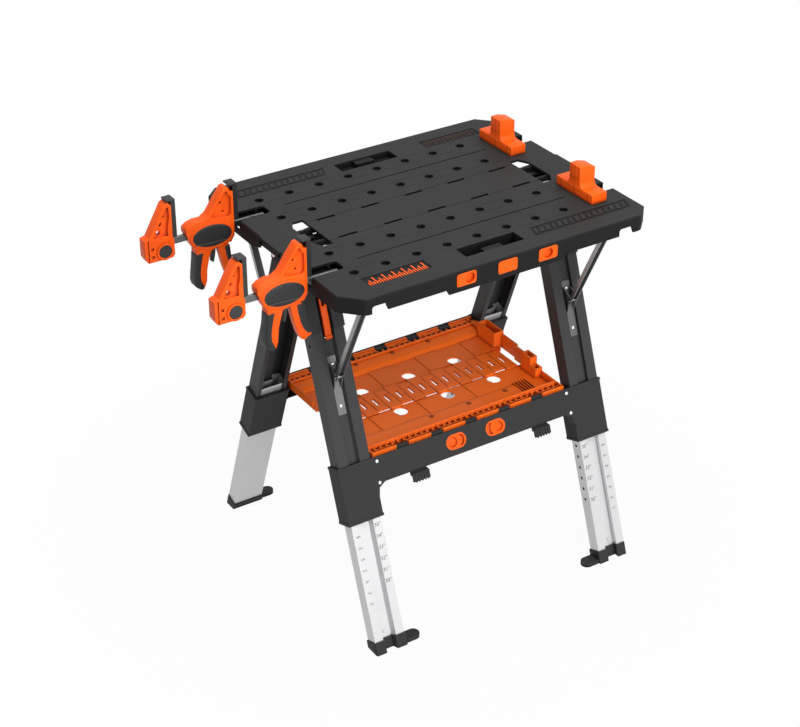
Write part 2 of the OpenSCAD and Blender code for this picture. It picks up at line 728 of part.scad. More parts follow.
// Lever in the groove of the front left leg, and of the rear right one
module lever() color(orange) leg_frame() left() translate([strut_x, 0, 0]) difference() {
    union() {
        rod_x(-lever_w / 2, lever_w / 2, lever_in, lever_u, lever_boss_r);
        prism_x([[lever_boss_r, lever_u], [-lever_boss_r / 2, lever_u],
            [-lever_boss_r + unit_lip, lever_u + lever_len * 0.5],
            [-lever_boss_r + unit_lip, lever_u + lever_len],
            [lever_boss_r - lever_t / 2, lever_u + lever_len], [lever_boss_r, lever_u + lever_len * 0.8]],
            -lever_w / 2, lever_w / 2);
    }
    box(-lever_w / 4, lever_w / 4, -lever_t * 2, lever_t * 2, lever_u + lever_len * 0.72,
        lever_u + lever_len * 0.9);
    rod_x(-lever_w, lever_w, lever_in, lever_u, lever_pin_r + fit);
}

// Inner leg on the right, in the leg frame
module tube() color(bright) difference() {
    union() {
        translate([0, 0, -in_low]) linear_extrude(inner_len) difference() {
            polygon(tube_outline(0));
            polygon(tube_outline(wall_in));
        }
        rod_y(leg_x + screw_r, in_groove - rivet_h, in_groove + wall_in, screw_u, screw_r);
    }
    for (i = [0:5]) rod_x(in_x0 - cut, in_x0 + 2 * wall_in, stop_y, stop_u + i * stop_pitch, stop_r);
}
function tube_outline(t) = [
    [in_x0 + t, in_y + t], [groove_x0 - 1.5 * groove_slope - t * 0.7, in_y + t],
    [groove_x0 - 0.4 * groove_slope - t * 0.7, in_groove + t],
    [groove_x1 + 0.5 * groove_slope + t, in_groove + t], [groove_x1 + 0.5 * groove_slope + t, in_y + t],
    [in_x1 - t, in_y + t], [in_x1 - t, in_y + inner_d - t], [in_x0 + t, in_y + inner_d - t]];
module foot_r() color(black) {
    difference() {
        intersection() {
            leg_frame() translate([0, 0, -foot_top - foot_deep - in_low]) linear_extrude(foot_deep + in_low)
                polygon([[in_x0 - foot_wall, in_y - foot_wall], [groove_x0 - groove_slope, in_y - foot_wall],
                [groove_x0, in_groove - foot_wall], [groove_x1, in_groove - foot_wall],
                [groove_x1, in_y - foot_wall], [in_x1, in_y - foot_wall],
                [in_x1 + foot_wall, in_y + foot_wall], [in_x1 + foot_wall, in_y + inner_d + foot_wall],
                [in_x0 - foot_wall, in_y + inner_d + foot_wall]]);
            box(0, 2 * leg_x, -hy - inner_w, 0, 0, foot_lift + inner_d);
        }
        leg_frame() translate([0, 0, -in_low]) linear_extrude(in_low) polygon(tube_outline(0));
    }
    difference() {
        union() {
            rod_z(in_x0 - toe_len + toe_r, toe_y, 0, toe_h, toe_r);
            box(in_x0 - toe_len + toe_r, in_x0, toe_y - toe_r, toe_y + toe_r, 0, toe_h);
        }
        box(in_x0 - foot_wall, in_x0 + cut, toe_y - inner_d, toe_y + inner_d, -cut, toe_h + cut);
    }
}
toe_y = leg_y0 + toe_in;

// Half of the tray: the front one, or the rear one in the front one's place
module tray(is_rear) color(orange) {
    x0 = is_rear ? -tray_far : tray_x0;
    x1 = is_rear ? -tray_x0 : tray_x1;
    f0 = is_rear ? -tray_x1 + end_wall_t + unit_lip : x0;
    inner = -ty;
    difference() {
        union() {
            box(f0, x1, inner, -floor_gap - end_wall_t, floor_z - floor_t, floor_z);
            box(f0 + end_wall_t, x1 - end_wall_t - unit_lip, inner, -floor_gap, floor_z - floor_t, floor_z);
            if (is_rear) box(x0, f0, inner, -floor_gap - 4 * end_wall_t, floor_z - floor_t, floor_z);
            rod_x(f0, x1, inner, tz, tray_barrel_r);
            box(x0, x1, inner - tray_rim, inner - tray_rim + tray_wall, floor_z - floor_t, floor_z + rim_h);
            box(x0, x1, inner - tray_rim, inner + cell_in, floor_z - floor_t, floor_z);
            box(x0, x1, inner + cell_out, inner + cell_in, floor_z + rim_h - 2 * tray_wall,
                floor_z + rim_h - tray_wall);
            box(x0, x1, inner + cell_in, inner + cell_in + tray_wall, floor_z - floor_t, floor_z + rim_h);
            for (x = [is_rear ? x1 - tray_wall : x0, is_rear ? f0 : x1 - tray_wall])
                box(x, x + tray_wall, inner, -floor_gap - 4 * end_wall_t, floor_z - floor_t, floor_z + rim_h);
            for (i = [is_rear ? -3 : -4 : 3])
                tray_finger((is_rear ? finger_rear : finger_off) + i * finger_pitch);
            for (x = is_rear ? rear_slat_xs : slat_xs) box(x - slat_w / 2, x + slat_w / 2,
                -slat_y0, -slat_y1, floor_z - lap, floor_z + slat_t);
            if (is_rear) {
                box(x0, x0 + end_wall_t, -end_wall_y0, end_wall_lap, floor_z - floor_t,
                    floor_z + end_wall_h);
                tray_box(x0, x0 + box_w, -box_y0, -box_y1, end_wall_h + rim_h / 2);
            } else {
                box(x1 - end_wall_t, x1, -end_wall_y0, -end_wall_y1, floor_z - floor_t,
                    floor_z + end_wall_h);
                tray_box(x1 - tray_block_w, x1, -block_y0, -block_mid, end_wall_h - rim_h / 2);
                tray_box(x1 - tray_block_w, x1, -block_mid, -box_y1, end_wall_h + rim_h - tray_wall);
                for (i = [0:4]) box(fin_x + i * 2 * tray_wall, fin_x + i * 2 * tray_wall + slat_t, -fin_y0,
                    -fin_y1, floor_z - slat_t, floor_z + rim_h / 2);
            }
        }
        for (x = [-2:2]) box(x * tray_pitch - tray_knuckle / 2 - unit_lip, x * tray_pitch
            + tray_knuckle / 2 + unit_lip, inner - 2 * tray_rim, inner + tray_barrel_r + slat_t,
            floor_z - 2 * floor_t, floor_z + 2 * rim_h);
        for (x = [-1:1]) {
            rod_z((is_rear ? rear_big_x : front_hole_x) + x * big_hole_pitch, -big_hole_y,
                floor_z - 2 * floor_t, floor_z + rim_h, big_hole_r);
            rod_z((is_rear ? rear_small_x : front_hole_x) + x * small_hole_pitch, -small_hole_y,
                floor_z - 2 * floor_t, floor_z + rim_h, small_hole_r);
        }
        for (i = [-17:16]) box(i * cell_pitch + slat_t, (i + 1) * cell_pitch - slat_t,
            inner + cell_out + slat_t, inner + cell_in - slat_t, floor_z + slat_t, floor_z + 2 * rim_h);
        rod_x(x0 - cut, x1 + cut, inner, tz, tray_rod_r);
    }
}
module tray_box(x0, x1, y0, y1, h) difference() {
    box(x0, x1, y0, y1, floor_z - floor_t, floor_z + h);
    box(x0 + tray_wall, x1 - tray_wall, y0 + tray_wall, y1 - tray_wall, floor_z, floor_z + h + cut);
}
module tray_finger(x) difference() {
    box(x - finger_w / 2, x + finger_w / 2, -floor_gap - 2 * slat_t, finger_reach, floor_z - slat_t,
        floor_z - slat_t + finger_t);
    box(x - finger_win / 2, x + finger_win / 2, -finger_w / 2, finger_w / 2, floor_z - floor_t,
        floor_z + rim_h);
}
module tray_rod() color(steel) rod_x(tray_x0, tray_x1, -ty, tz, tray_rod_r);

// Dog block, for the front
module dog() color(orange) {
    box(block_x0, block_x0 + block_w, -block_y - block_len / 2, block_len / 2 - block_y, top_h,
        top_h + block_h);
    prism_y([[block_x0, top_h + block_h], [block_x0, top_h + block_h + post_h],
        [block_x0 + post_w / 2, top_h + block_h + post_h],
        [block_x0 + block_w, top_h + block_h + post_h - post_slope], [block_x0 + block_w, top_h + block_h]],
        -block_y - post_w / 2, post_w / 2 - block_y);
    for (s = [-1, 1]) difference() {
        box(block_x0, block_x0 + block_w, s > 0 ? post_w / 2 - block_y : -post_w / 2 - fillet_r - block_y,
            s > 0 ? post_w / 2 + fillet_r - block_y : -post_w / 2 - block_y, top_h + block_h,
            top_h + block_h + fillet_r);
        rod_x(block_x0 - cut, block_x0 + block_w + cut, s * (post_w / 2 + fillet_r) - block_y,
            top_h + block_h + fillet_r, fillet_r);
    }
    for (j = [1, 2]) rod_z(4 * dog_pitch, -j * dog_row, top_h - peg_len, top_h, dog_r - gap);
}

// Clamp outlines, as shares of the clamp size about the badge's middle
housing_shares = [[-0.63, 0.11], [-0.63, 0.22], [-0.53, 0.29], [-0.37, 0.335], [-0.2, 0.33], [-0.06, 0.42],
    [0.16, 0.74], [0.33, 0.96], [0.39, 0.975], [0.43, 0.95], [0.45, 0.86], [0.53, 0.85], [0.53, 0.02],
    [0.53, -0.2], [0.44, -0.34], [0.2, -0.36], [-0.06, -0.42], [-0.12, -0.6], [-0.18, -0.85],
    [-0.2, -1.12], [-0.25, -1.26], [-0.34, -1.3], [-0.46, -1.2], [-0.48, -1.1], [-0.46, -0.9],
    [-0.42, -0.6], [-0.41, -0.34], [-0.53, -0.15]];
trigger_shares = [[0.13, -0.26], [0.13, -0.44], [0.18, -0.62], [0.23, -0.85], [0.3, -1.1], [0.38, -1.27],
    [0.46, -1.3], [0.53, -1.25], [0.61, -1.22], [0.62, -1.14], [0.52, -1.05], [0.46, -0.9],
    [0.42, -0.65], [0.4, -0.4], [0.27, -0.26]];
trigger_pin_shares = [0.2, -0.26];
trigger_hub_r = 7;
trigger_pin_r = 3;
release_pin_shares = [0.02, -0.36];
release_hub_r = 4.5;
release_pin_r = 2;
slot_shares = [[-0.06, -0.55], [-0.06, -0.3], [0.09, -0.17], [0.47, -0.17], [0.47, -0.55]];
slot_t = 18;
grip_shares = [[-0.37, -0.52], [-0.17, -0.62], [-0.22, -0.85], [-0.24, -1.1], [-0.33, -1.24], [-0.44, -1.14],
    [-0.42, -0.9]];
release_shares = [[-0.02, -0.36], [0.06, -0.36], [0.08, -0.45], [0.06, -0.6], [0.02, -0.75], [-0.02, -0.74],
    [0, -0.58]];
end_jaw_shares = [[-1.61, -0.215], [-1.55, -0.325], [-0.98, -0.325], [-0.92, -0.26], [-0.92, 0.1],
    [-0.95, 0.13], [-0.95, 0.9], [-1.02, 0.97], [-1.1, 0.93], [-1.49, 0.24], [-1.61, 0.2]];
end_hole_shares = [[-1.22, 0.49, 0.05], [-1.27, 0.29, 0.065], [-1.13, 0.66, 0.04]];
button_shares = [-1.15, -0.135];
badge_shares = [0, -0.075];
badge_r_share = 0.25;
badge_l_share = 0.2;
badge_tilt = 12;
pad_shares = [0.53, 0.16, 1.03];
end_pad_shares = [-0.95, 0.13, 1.04];

module clamp_at(s) translate([clamp_x, s * clamp_y, clamp_z]) children();
module clamp_slot(x0, x1) box(x0, x1, -bar_t / 2 - gap, bar_t / 2 + gap, -bar_h / 2 - gap, bar_h / 2 + gap);
module clamp_bar(s) color(steel) clamp_at(s)
    box(bar_x0 - clamp_x, bar_x1 - clamp_x, -bar_t / 2, bar_t / 2, -bar_h / 2, bar_h / 2);
module clamp_housing(s) color(orange) clamp_at(s) {
    difference() {
        prism_y(sized(housing_shares, clamp_size), -housing_t / 2, housing_t / 2);
        clamp_slot(-clamp_size, clamp_size);
        prism_y(sized(slot_shares, clamp_size), -slot_t / 2, slot_t / 2);
    }
    clamp_pin(trigger_pin_shares, trigger_pin_r, housing_t);
    clamp_pin(release_pin_shares, release_pin_r, housing_t);
}
module clamp_pin(at, r, t) rod_y(at[0] * clamp_size, -t / 2, t / 2, at[1] * clamp_size, r);
module clamp_grips(s) color(black) clamp_at(s) {
    for (e = [-1, 1]) {
        y0 = e > 0 ? housing_t / 2 : -housing_t / 2 - 2 * unit_lip;
        translate([badge_shares[0] * clamp_size, 0, badge_shares[1] * clamp_size])
            rotate([0, badge_tilt, 0]) {
            r = badge_r_share * clamp_size;
            l = badge_l_share * clamp_size;
            for (k = [-1, 1]) rod_y(k * l, y0, y0 + 2 * unit_lip, 0, r);
            box(-l, l, y0, y0 + 2 * unit_lip, -r, r);
        }
        prism_y(sized(grip_shares, clamp_size), y0, y0 + 2 * unit_lip);
    }
    box(pad_shares[0] * clamp_size, pad_shares[0] * clamp_size + pad_t, -housing_t / 2, housing_t / 2,
        pad_shares[1] * clamp_size, pad_shares[2] * clamp_size);
}
module clamp_trigger(s) color(orange) clamp_at(s) difference() {
    union() {
        clamp_pin(trigger_pin_shares, trigger_hub_r, slot_t - 2 * gap);
        prism_y(sized(trigger_shares, clamp_size), gap - slot_t / 2, slot_t / 2 - gap);
    }
    clamp_pin(trigger_pin_shares, trigger_pin_r + fit, slot_t + cut);
}
module clamp_release(s) color(black) clamp_at(s) difference() {
    union() {
        clamp_pin(release_pin_shares, release_hub_r, slot_t - 2 * gap);
        prism_y(sized(release_shares, clamp_size), -slot_t / 3, slot_t / 3);
    }
    clamp_pin(release_pin_shares, release_pin_r + fit, slot_t + cut);
}
module clamp_end_jaw(s) color(orange) clamp_at(s) difference() {
    prism_y(sized(end_jaw_shares, clamp_size), -housing_t / 2, housing_t / 2);
    clamp_slot(bar_x0 - clamp_x - gap, 0);
    for (h = end_hole_shares) rod_y(h[0] * clamp_size, -housing_t, housing_t, h[1] * clamp_size,
        h[2] * clamp_size);
    rod_y(button_shares[0] * clamp_size, -housing_t / 2 - cut, button_deep - housing_t / 2,
        button_shares[1] * clamp_size, button_r + gap);
}
module clamp_end_pad(s) color(black) clamp_at(s)
    box(end_pad_shares[0] * clamp_size, end_pad_shares[0] * clamp_size + pad_t, -housing_t / 2,
        housing_t / 2, end_pad_shares[1] * clamp_size, end_pad_shares[2] * clamp_size);
module clamp_button(s) color(black) clamp_at(s) rod_y(button_shares[0] * clamp_size,
    -housing_t / 2 - button_out, button_h - housing_t / 2 - button_out, button_shares[1] * clamp_size, button_r);

center_beam();
hinge_rods();
leg_pivots();
wing();  // front_wing
inserts();  // front_inserts
strut_mounts();  // front_strut_mounts
rear() wing();  // rear_wing
rear() inserts();  // rear_inserts
rear() strut_mounts();  // rear_strut_mounts
leg_frame() left() channel();  // front_left_channel
leg_frame() channel();  // front_right_channel
beam();  // front_beam
beam_inserts();  // front_beam_inserts
top_brackets();  // front_top_brackets
strut_brackets();  // front_strut_brackets
union() { rivets(); lever_pin(); }  // front_rivets
rear() leg_frame() channel();  // rear_left_channel
rear() leg_frame() left() channel();  // rear_right_channel
rear() beam();  // rear_beam
rear() beam_inserts();  // rear_beam_inserts
rear() top_brackets();  // rear_top_brackets
rear() strut_brackets();  // rear_strut_brackets
rear() { rivets(); lever_pin(); }  // rear_rivets
lever();  // front_lever
rear() lever();  // rear_lever
left() strut();  // front_left_strut
strut();  // front_right_strut
rear() strut();  // rear_left_strut
rear() left() strut();  // rear_right_strut
leg_frame() left() tube();  // front_left_tube
left() foot_r();  // front_left_foot
leg_frame() tube();  // front_right_tube
foot_r();  // front_right_foot
rear() leg_frame() tube();  // rear_left_tube
rear() foot_r();  // rear_left_foot
rear() leg_frame() left() tube();  // rear_right_tube
rear() left() foot_r();  // rear_right_foot
tray(false);  // front_tray
tray_rod();  // front_tray_rod
rear() tray(true);  // rear_tray
rear() left() tray_rod();  // rear_tray_rod
dog();  // front_dog
mirror([0, 1, 0]) dog();  // rear_dog
clamp_bar(-1);  // front_clamp_bar
clamp_end_jaw(-1);  // front_clamp_end_jaw
clamp_end_pad(-1);  // front_clamp_end_pad
clamp_button(-1);  // front_clamp_button
clamp_housing(-1);  // front_clamp_housing
clamp_grips(-1);  // front_clamp_grips
clamp_trigger(-1);  // front_clamp_trigger
clamp_release(-1);  // front_clamp_release
clamp_bar(1);  // rear_clamp_bar
clamp_end_jaw(1);  // rear_clamp_end_jaw
clamp_end_pad(1);  // rear_clamp_end_pad
clamp_button(1);  // rear_clamp_button
clamp_housing(1);  // rear_clamp_housing
clamp_grips(1);  // rear_clamp_grips
clamp_trigger(1);  // rear_clamp_trigger
clamp_release(1);  // rear_clamp_release
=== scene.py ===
"""Folding workbench: the finish of every part, the small details on them, and the stage."""

import math

import bmesh
import bpy
from bpy.props import FloatProperty, FloatVectorProperty, PointerProperty
from mathutils import Matrix, Vector


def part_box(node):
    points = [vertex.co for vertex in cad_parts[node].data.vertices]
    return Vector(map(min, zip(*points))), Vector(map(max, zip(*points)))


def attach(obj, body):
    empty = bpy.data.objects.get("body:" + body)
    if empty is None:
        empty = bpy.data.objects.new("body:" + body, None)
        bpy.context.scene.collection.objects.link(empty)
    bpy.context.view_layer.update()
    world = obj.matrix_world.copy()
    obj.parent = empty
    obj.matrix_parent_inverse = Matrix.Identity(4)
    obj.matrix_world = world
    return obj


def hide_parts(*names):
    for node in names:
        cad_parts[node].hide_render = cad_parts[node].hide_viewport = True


bl_info = {
    "name": "Folding workbench",
    "version": (1, 0, 0),
    "blender": (4, 5, 0),
    "location": "View3D > Sidebar > Workbench",
    "description": "Finishes a folding workbench, adds its small details and sets the stage",
    "category": "Object",
}

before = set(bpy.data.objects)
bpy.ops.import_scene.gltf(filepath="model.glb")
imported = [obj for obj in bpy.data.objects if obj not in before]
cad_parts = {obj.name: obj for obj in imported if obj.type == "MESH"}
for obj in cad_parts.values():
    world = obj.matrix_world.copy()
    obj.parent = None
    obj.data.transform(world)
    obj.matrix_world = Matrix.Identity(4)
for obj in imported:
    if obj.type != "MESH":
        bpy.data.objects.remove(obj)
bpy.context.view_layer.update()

# Where things are on the bench, in metres
TOP_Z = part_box("front_wing")[1].z
EDGE_Y = -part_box("front_wing")[0].y
HOLE_PITCH = 0.077
HOLE_ROW = 0.1005
HOLE_R = 0.010
LEG_LEAN = math.radians(20)
LEG_FOOT = Vector((0, -0.34406, 0.0328))
TUBE_Y = 0.002
CLAMP_X = -0.454
CLAMP_Y = 0.157
CLAMP_Z = 0.8735
CLAMP_SIZE = 0.1
HOUSING_T = 0.026
DOG_X = 0.297
DOG_Y = 0.152
DOG_L = 0.128
DOG_BASE_H = 0.022
DOG_POST_W = 0.038
DOG_POST_H = 0.049

# Ways of placing a piece that is drawn for the front or the right
HALF_TURN = Matrix.Rotation(math.pi, 4, "Z")
MIRROR = Matrix.Scale(-1, 4, (1, 0, 0))
FRONT_TO_BACK = Matrix.Scale(-1, 4, (0, 1, 0))
SWAP_XY = Matrix(((0, 1, 0, 0), (1, 0, 0, 0), (0, 0, 1, 0), (0, 0, 0, 1)))
HERE = Matrix.Identity(4)
LEG = Matrix.Translation(LEG_FOOT) @ Matrix.Rotation(-LEG_LEAN, 4, "X")
UPRIGHT = Matrix.Rotation(math.radians(90), 4, "X")
ENDS = {"front": Matrix.Identity(4), "rear": HALF_TURN}


class Signal:
    """One socket of a node tree. Sums and comparisons on it add Math nodes."""

    def __init__(self, nodes, socket):
        self.nodes = nodes
        self.socket = socket

    def _math(self, operation, *terms, clamp=False):
        settings = {"operation": operation, "use_clamp": clamp}
        return self.nodes.add("ShaderNodeMath", settings, dict(enumerate(terms)))

    def __add__(self, other):
        return self._math("ADD", self, other)

    def __sub__(self, other):
        return self._math("SUBTRACT", self, other)

    def __rsub__(self, other):
        return self._math("SUBTRACT", other, self)

    def __mul__(self, other):
        return self._math("MULTIPLY", self, other)

    def __truediv__(self, other):
        return self._math("DIVIDE", self, other)

    def __gt__(self, other):
        return self._math("GREATER_THAN", self, other)

    __radd__ = __add__
    __rmul__ = __mul__

    def most(self, other):
        return self._math("MAXIMUM", self, other)

    def clamped(self):
        return self._math("ADD", self, 0.0, clamp=True)


class Nodes:
    """A node tree that is built by one method."""

    def __init__(self, tree):
        self.tree = tree
        tree.nodes.clear()

    def add(self, kind, settings=None, inputs=None, output=0):
        made = self.tree.nodes.new(kind)
        for key, value in (settings or {}).items():
            setattr(made, key, value)
        for key, value in (inputs or {}).items():
            socket = made.inputs[key] if isinstance(key, int) else self.find(made.inputs, key)
            if isinstance(value, Signal):
                self.tree.links.new(value.socket, socket)
            else:
                socket.default_value = value
        if not made.outputs:
            return None
        found = made.outputs[output] if isinstance(output, int) else self.find(made.outputs, output)
        return Signal(self, found)

    @staticmethod
    def find(sockets, name):
        for socket in sockets:
            if socket.identifier == name:
                return socket
        return sockets[name]

    def mix(self, low, high, share):
        inputs = {"Factor_Float": share, "A_Color": low, "B_Color": high}
        return self.add("ShaderNodeMix", {"data_type": "RGBA"}, inputs, "Result_Color")

    def place(self, scale=(1, 1, 1), turn=(0, 0, 0)):
        coordinate = self.add("ShaderNodeTexCoord", output="Object")
        if scale == (1, 1, 1) and turn == (0, 0, 0):
            return coordinate
        return self.add("ShaderNodeMapping", {}, {"Vector": coordinate, "Scale": scale, "Rotation": turn})

    def noise(self, place, scale, detail=2.0, roughness=0.5):
        inputs = {"Vector": place, "Scale": scale, "Detail": detail, "Roughness": roughness}
        return self.add("ShaderNodeTexNoise", {}, inputs)

    def axis(self, letter):
        return self.add("ShaderNodeSeparateXYZ", {}, {"Vector": self.place()}, letter)

    def eased_normal(self, radius):
        return self.add("ShaderNodeBevel", {"samples": 4}, {"Radius": radius}, "Normal")

    def edges(self, normal):
        """1 along an edge, 0 on the flat. It masks the lighter edges, which are wear and also a painted
        highlight.
        """
        flat = self.add("ShaderNodeNewGeometry", output="Normal")
        dot = self.add("ShaderNodeVectorMath", {"operation": "DOT_PRODUCT"}, {0: normal, 1: flat}, "Value")
        return ((1.0 - dot) * 4.0).clamped()

    def open_air(self, reach):
        """0 deep in seams and crevices, 1 where nothing stands near. Colour darkened where it is low is
        painted shade.
        """
        around = self.add("ShaderNodeAmbientOcclusion", {"samples": 8}, {"Distance": reach}, "AO")
        return ((around - 0.25) * 1.6).clamped()

    def bump(self, height, strength, distance, normal):
        inputs = {"Height": height, "Strength": strength, "Distance": distance, "Normal": normal}
        return self.add("ShaderNodeBump", {}, inputs)


def rgba(colour):
    """The colour with full alpha, as sockets take it."""
    return (*colour, 1.0)


def shade(colour, share):
    """The colour made lighter or darker by a share."""
    return tuple(min(1.0, c * share) for c in colour)


FINISHES = {}
# Painted shade in seams and crevices: how far it reaches, and its deep orange on the orange parts.
CREVICE_REACH = 0.012
ORANGE_CREVICE_SHADE = (0.30, 0.028, 0.003)
# Light orange along the edges: a painted highlight, together with wear.
WORN_LIT_ORANGE = (1.0, 0.33, 0.10)
# Painted shade on the worktop: the skirt's share of the top's black, and how far below the top it starts.
SKIRT_SHADE_SHARE = 0.42
SKIN_EDGE = 0.0008
MARKS_DEEP = 0.004


def finished(name, build):
    """The named material, built once."""
    if name not in FINISHES:
        material = bpy.data.materials.new(name)
        material.use_nodes = True
        nodes = Nodes(material.node_tree)
        surface = build(nodes)
        nodes.add("ShaderNodeOutputMaterial", {}, {"Surface": surface})
        FINISHES[name] = material
    return FINISHES[name]


def surface(nodes, colour, rough, normal, metallic=0.0, specular=0.5, **more):
    """The one surface shader that every finish uses."""
    inputs = {
        "Base Color": colour, "Roughness": rough, "Normal": normal, "Metallic": metallic,
        "Specular IOR Level": specular, **more,
    }
    return nodes.add("ShaderNodeBsdfPrincipled", {}, inputs, "BSDF")


def moulding(name, colour, lit_edge, rough, grain=900.0, depth=0.00012, specular=0.3, ease=0.0012,
             tone=None, crevice_shade=None):
    """Moulded plastic: fine spark grain, slow tone drift, lighter edges that are wear and a painted
    highlight, and painted shade in the crevices.
    """

    def build(nodes):
        place = nodes.place()
        normal = nodes.eased_normal(ease)
        wear_and_highlight = nodes.edges(normal)
        drift = nodes.noise(place, 7.0, 3.0)
        fine = nodes.noise(place, grain, 2.0, 0.6)
        scuff = nodes.noise(nodes.place((1, 6, 1), (0, 0, 0.5)), 60.0, 4.0, 0.7)
        body = nodes.mix(rgba(shade(colour, 0.88)), rgba(shade(colour, 1.12)), drift)
        # Painted highlight: the edges are lightened towards lit_edge, together with wear.
        body = nodes.mix(body, rgba(lit_edge), wear_and_highlight * (0.35 + 0.35 * scuff))
        if tone is not None:
            body = tone(nodes, body)
        # Painted shade: the colour darkens in seams and crevices.
        body = nodes.mix(rgba(crevice_shade or shade(colour, 0.2)), body, nodes.open_air(CREVICE_REACH))
        gloss = rough + (fine - 0.5) * 0.12 + (scuff - 0.5) * 0.1 - wear_and_highlight * 0.08
        return surface(nodes, body, gloss.clamped(), nodes.bump(fine, 0.35, depth, normal), 0.0, specular)

    return finished(name, build)


def top_black():
    """The worktop's plastic: dull, with painted shade that keeps the skirt darker than the top."""
    black = tuple(bpy.context.scene.workbench_top.black)

    def tone(nodes, body):
        # Painted shade: below the top face the black is darkened to the skirt's share.
        return nodes.mix(rgba(shade(black, SKIRT_SHADE_SHARE)), body, nodes.axis("Z") > TOP_Z - SKIN_EDGE)

    return moulding("top_black", black, (0.085, 0.085, 0.085), 0.56, grain=700.0, depth=0.0002,
                    specular=0.09, tone=tone)


def leg_black():
    """Powder coat on the leg channels: faint orange peel and drawn lines up the leg."""
    colours = bpy.context.scene.workbench_legs

    def build(nodes):
        normal = nodes.eased_normal(0.0012)
        wear_and_highlight = nodes.edges(normal)
        drawn = nodes.noise(nodes.place((260, 260, 4)), 1.0, 2.0)
        peel = nodes.noise(nodes.place(), 420.0, 2.0)
        drift = nodes.noise(nodes.place((1, 1, 0.4)), 9.0, 3.0)
        body = nodes.mix(rgba(shade(colours.coat, 0.85)), rgba(shade(colours.coat, 1.15)), drift)
        # Painted highlight: lighter grey along the edges, together with wear.
        body = nodes.mix(body, (0.11, 0.11, 0.112, 1), wear_and_highlight * 0.6)
        # Painted shade: the coat darkens in seams and crevices.
        body = nodes.mix(rgba(shade(colours.coat, 0.15)), body, nodes.open_air(CREVICE_REACH))
        gloss = (0.42 + (drawn - 0.5) * 0.16 + (peel - 0.5) * 0.1).clamped()
        return surface(nodes, body, gloss, nodes.bump(peel + drawn * 0.5, 0.25, 0.0002, normal), 0.0, 0.12)

    return finished("leg_black", build)


def frame_black():
    """The moulded plastic of beams, collars, caps and feet."""
    colours = bpy.context.scene.workbench_legs
    return moulding("frame_black", tuple(colours.moulding), (0.11, 0.11, 0.11), 0.5, grain=760.0,
                    depth=0.00015, specular=0.10)


def orange_plastic(name, tone=None):
    """The orange of the inserts, dog blocks and clamps."""
    return moulding(name, tuple(bpy.context.scene.workbench_top.orange), WORN_LIT_ORANGE, 0.42, grain=1100.0,
                    depth=0.0001, specular=0.16, ease=0.001, tone=tone, crevice_shade=ORANGE_CREVICE_SHADE)


def skirt_orange():
    """Plain orange, the same all over."""
    return orange_plastic("bright_orange")


def tray_orange():
    """The tray's orange, made lighter than the other orange as painted light, so that the tray in the shade
    under the worktop looks brightly lit.
    """
    return moulding("tray_orange", (1.0, 0.155, 0.012), (1.0, 0.36, 0.12), 0.45, grain=1000.0, depth=0.0001,
                    specular=0.14, ease=0.001, crevice_shade=(0.34, 0.032, 0.003))


def rear_orange():
    """The same orange, but black where the rear plate's marks stand on the worktop."""

    def tone(nodes, body):
        return nodes.mix(body, (0.012, 0.012, 0.012, 1), nodes.axis("Z") > TOP_Z - MARKS_DEEP)

    return orange_plastic("rear_orange", tone)


def engraved():
    """Near black for dashes and sunk rounds."""
    return moulding("engraved", (0.008, 0.008, 0.008), (0.02, 0.02, 0.02), 0.75, depth=0.00005,
                    specular=0.15)


def grip_black():
    """Soft plastic on the clamps' grips and badges."""
    return moulding("soft_grip", (0.016, 0.016, 0.017), (0.08, 0.08, 0.08), 0.52, grain=1500.0,
                    depth=0.0001, ease=0.0016)


def rubber():
    """Rubber of the end pads, buttons and release levers."""
    return moulding("pad_rubber", (0.030, 0.030, 0.031), (0.09, 0.09, 0.09), 0.62, grain=1300.0,
                    depth=0.00015)


def scored_orange():
    """Deep orange in scored lines, and painted shade on the tray's flat rounds that stand for its recesses.
    """
    return moulding("scored_orange", (0.30, 0.05, 0.006), (0.4, 0.08, 0.01), 0.6, depth=0.00005,
                    specular=0.2)


def scale_ink():
    """Grey print of the leg numbers."""
    return moulding("scale_ink", (0.07, 0.07, 0.07), (0.3, 0.3, 0.3), 0.6, depth=0.00002, specular=0.2)


def crease_grey():
    """Painted highlight: lighter grey of the line across a badge."""
    return moulding("crease_grey", (0.10, 0.10, 0.10), (0.2, 0.2, 0.2), 0.45)


def drawn_metal(name, colour, rough, along, edge, metallic=1.0):
    """Metal with lines drawn along one way, given as a share of the scale on X, Y and Z."""

    def build(nodes):
        normal = nodes.eased_normal(0.0008)
        wear_and_highlight = nodes.edges(normal)
        lines = nodes.noise(nodes.place(along), 1.0, 3.0, 0.7)
        cloud = nodes.noise(nodes.place(), 14.0, 3.0)
        body = nodes.mix(rgba(shade(colour, 0.9)), rgba(shade(colour, 1.08)), lines)
        # Painted highlight: the edge colour along the edges, together with wear.
        body = nodes.mix(body, rgba(edge), wear_and_highlight * 0.5)
        # Painted shade: the metal darkens in seams and crevices.
        body = nodes.mix(rgba(shade(colour, 0.18)), body, nodes.open_air(CREVICE_REACH / 2))
        gloss = (rough + (lines - 0.5) * 0.22 + (cloud - 0.5) * 0.12).clamped()
        return surface(nodes, body, gloss, nodes.bump(lines, 0.18, 0.00008, normal), metallic)

    return finished(name, build)


def leg_aluminium():
    """Extruded aluminium of the inner legs."""
    return drawn_metal("leg_aluminium", tuple(bpy.context.scene.workbench_legs.aluminium), 0.34,
                       (900, 900, 5), (0.95, 0.95, 0.96), 0.45)


def zinc():
    """Bright plating on rods, pins and rivets."""
    return drawn_metal("zinc", (0.78, 0.79, 0.80), 0.26, (500, 500, 500), (0.95, 0.95, 0.95))


